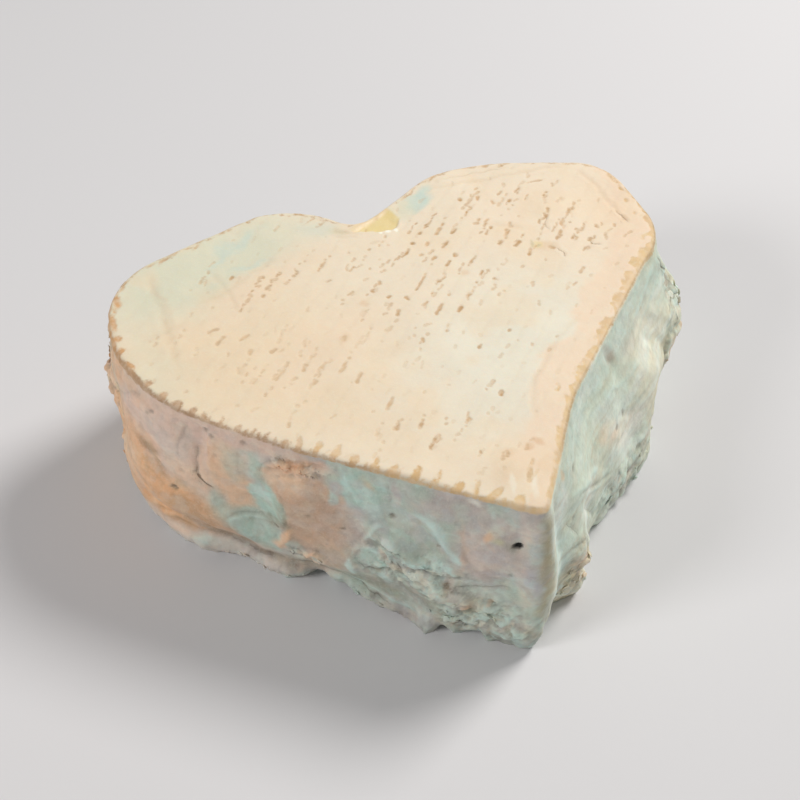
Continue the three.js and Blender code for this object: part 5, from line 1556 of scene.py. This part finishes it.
def make_rind_material():
    """Mould rind with ochre crust, brown marks, hairline cracks and fine relief."""
    material = bpy.data.materials.new("rind")
    material.use_nodes = True
    nodes = Nodes(material)
    shader = material.node_tree.nodes["Principled BSDF"]
    place = nodes.add("ShaderNodeTexCoord").outputs["Object"]
    grain = nodes.noise(place, 0.45, 3)
    mottle = nodes.noise(place, 1.5, 4, 0.3)
    crag = nodes.attribute("crag")

    colour = rind_colour(nodes, place, grain, mottle, crag)
    ragged = nodes.math("MULTIPLY", nodes.math("SUBTRACT", grain, 0.5), 0.34)
    under = nodes.mix(nodes.ramp(mottle, 0.42, 0.66, 0.3), nodes.attribute("under", "Color"), "ivory")
    mark = nodes.ramp(nodes.math("MULTIPLY_ADD", ragged, 0.6, nodes.attribute("mark")), 0.34, 0.84)
    colour = nodes.mix(nodes.math("MULTIPLY", mark, 0.95), colour, under)
    crust = nodes.ramp(nodes.math("ADD", nodes.attribute("crust"), ragged), 0.36, 0.68)
    colour = nodes.mix(nodes.math("MULTIPLY", crust, 0.92), colour, under)
    crack = crack_share(nodes, mottle)
    dark = nodes.mix(1.0, colour, CRACK_SHADE, "MULTIPLY")
    colour = nodes.mix(nodes.math("MULTIPLY", crack, 0.75), colour, dark)
    # Painted shade: the hole is filled with near black.
    colour = nodes.mix(nodes.attribute("hole"), colour, "hole")

    rough = nodes.math("MULTIPLY_ADD", mottle, 0.25, 0.62)
    rough = nodes.math("SUBTRACT", rough, nodes.math("MULTIPLY", nodes.attribute("moist"), 0.3))
    wrinkle = nodes.noise(place, 3.6, 4, 0.8, "Fac", {"noise_type": "RIDGED_MULTIFRACTAL"})
    height = nodes.math("MULTIPLY_ADD", grain, 0.3, nodes.math("MULTIPLY", mottle, 0.7))
    height = nodes.math("MULTIPLY", height, nodes.math("MULTIPLY_ADD", crag, 0.9, 0.2))
    wrinkle = nodes.math("MULTIPLY", wrinkle, crag)
    for layer, amount in ((wrinkle, 0.5), (mark, -0.3), (crust, -0.2), (crack, -1.0)):
        height = nodes.math("MULTIPLY_ADD", layer, amount, height)
    bump = nodes.add("ShaderNodeBump", Strength=0.8, Distance=0.3 * MM, Height=height)

    finish = {"Base Color": colour, "Roughness": rough, "Normal": bump.outputs["Normal"], **RIND_FINISH}
    for name, value in finish.items():
        nodes.feed(shader.inputs[name], value)
    return material


# ---- Scene ----

def make_piece(name, points, faces, material):
    mesh = bpy.data.meshes.new(name)
    mesh.from_pydata((points * MM).tolist(), [], faces)
    mesh.update()
    mesh.polygons.foreach_set("use_smooth", [True] * len(faces))
    mesh.materials.append(material)
    piece = bpy.data.objects.new(name, mesh)
    bpy.context.scene.collection.objects.link(piece)
    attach(piece, "root")
    return piece


def add_layer(piece, name, values):
    """Store a number or a colour for each point of a piece."""
    if values.ndim == 1:
        piece.data.attributes.new(name, "FLOAT", "POINT").data.foreach_set("value", values)
    else:
        colours = np.column_stack([values, np.ones(len(values))]).ravel()
        piece.data.attributes.new(name, "FLOAT_COLOR", "POINT").data.foreach_set("color", colours)


def make_camera():
    azimuth, elevation = math.radians(VIEW_AZIMUTH), math.radians(VIEW_ELEVATION)
    back = Vector((math.sin(azimuth) * math.cos(elevation),
                   -math.cos(azimuth) * math.cos(elevation), math.sin(elevation)))
    side = Vector((-back.y, back.x, 0)).normalized()
    up = back.cross(side)
    data = bpy.data.cameras.new("view")
    data.lens, data.sensor_width = LENS, SENSOR
    data.clip_start, data.clip_end = 0.01, 10
    camera = bpy.data.objects.new("view", data)
    camera.location = (back * VIEW_DISTANCE + side * VIEW_ASIDE + up * VIEW_ABOVE) * MM
    camera.rotation_euler = back.to_track_quat("Z", "Y").to_euler()
    bpy.context.scene.collection.objects.link(camera)
    bpy.context.scene.camera = camera


def make_area_light(name, place, size, power, colour):
    data = bpy.data.lights.new(name, "AREA")
    data.shape, data.size = "DISK", size
    data.energy, data.color = power, colour
    light = bpy.data.objects.new(name, data)
    light.location = place
    light.rotation_euler = Vector(place).to_track_quat("Z", "Y").to_euler()
    bpy.context.scene.collection.objects.link(light)


def make_stage():
    mesh = bpy.data.meshes.new("floor")
    corners = [(FLOOR_REACH * x, FLOOR_REACH * y, 0) for x, y in ((-1, -1), (1, -1), (1, 1), (-1, 1))]
    mesh.from_pydata(corners, [], [(0, 1, 2, 3)])
    floor = bpy.data.objects.new("floor", mesh)
    bpy.context.scene.collection.objects.link(floor)
    material = bpy.data.materials.new("floor")
    material.use_nodes = True
    shader = material.node_tree.nodes["Principled BSDF"]
    shader.inputs["Base Color"].default_value = FLOOR_COLOUR
    shader.inputs["Roughness"].default_value = 0.9
    mesh.materials.append(material)
    world = bpy.data.worlds.new("studio")
    world.use_nodes = True
    background = world.node_tree.nodes["Background"]
    background.inputs["Color"].default_value = SKY_COLOUR
    background.inputs["Strength"].default_value = SKY_STRENGTH
    bpy.context.scene.world = world
    for light in LIGHTS:
        make_area_light(*light)
    bpy.context.scene.view_settings.view_transform = "Standard"


make_camera()
make_stage()
rind_material = make_rind_material()

rind = lay_rings(solid_tree())
values = dress(rind)
upper_rings = sum(1 for first, _ in rind.rings if rind.zone[first] >= CROWN)
seam = len(rind.rings) - 1 - upper_rings - SEAM_ROWS
for name, rings in (("cheese_rind", rind.rings[:seam + 1]), ("cheese_top", rind.rings[seam:])):
    own = slice(rings[0][0], rings[-1][0] + rings[-1][1])
    faces = make_faces(rings)
    piece = make_piece(name, rind.points[own], faces, rind_material)
    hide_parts(NODE)
    for layer, value in values.items():
        add_layer(piece, layer, value[own])

flake_points, flake_faces, flake_colours = scatter_flakes(rind, values["tint"])
flakes = make_piece("loose_flakes", flake_points, flake_faces, rind_material)
add_layer(flakes, "tint", flake_colours)
add_layer(flakes, "crag", np.full(len(flake_points), FLAKE_CRAG))
add_layer(flakes, "veils", np.full((len(flake_points), 3), FLAKE_VEIL))
add_layer(flakes, "side", np.full(len(flake_points), CRACK_REACH))
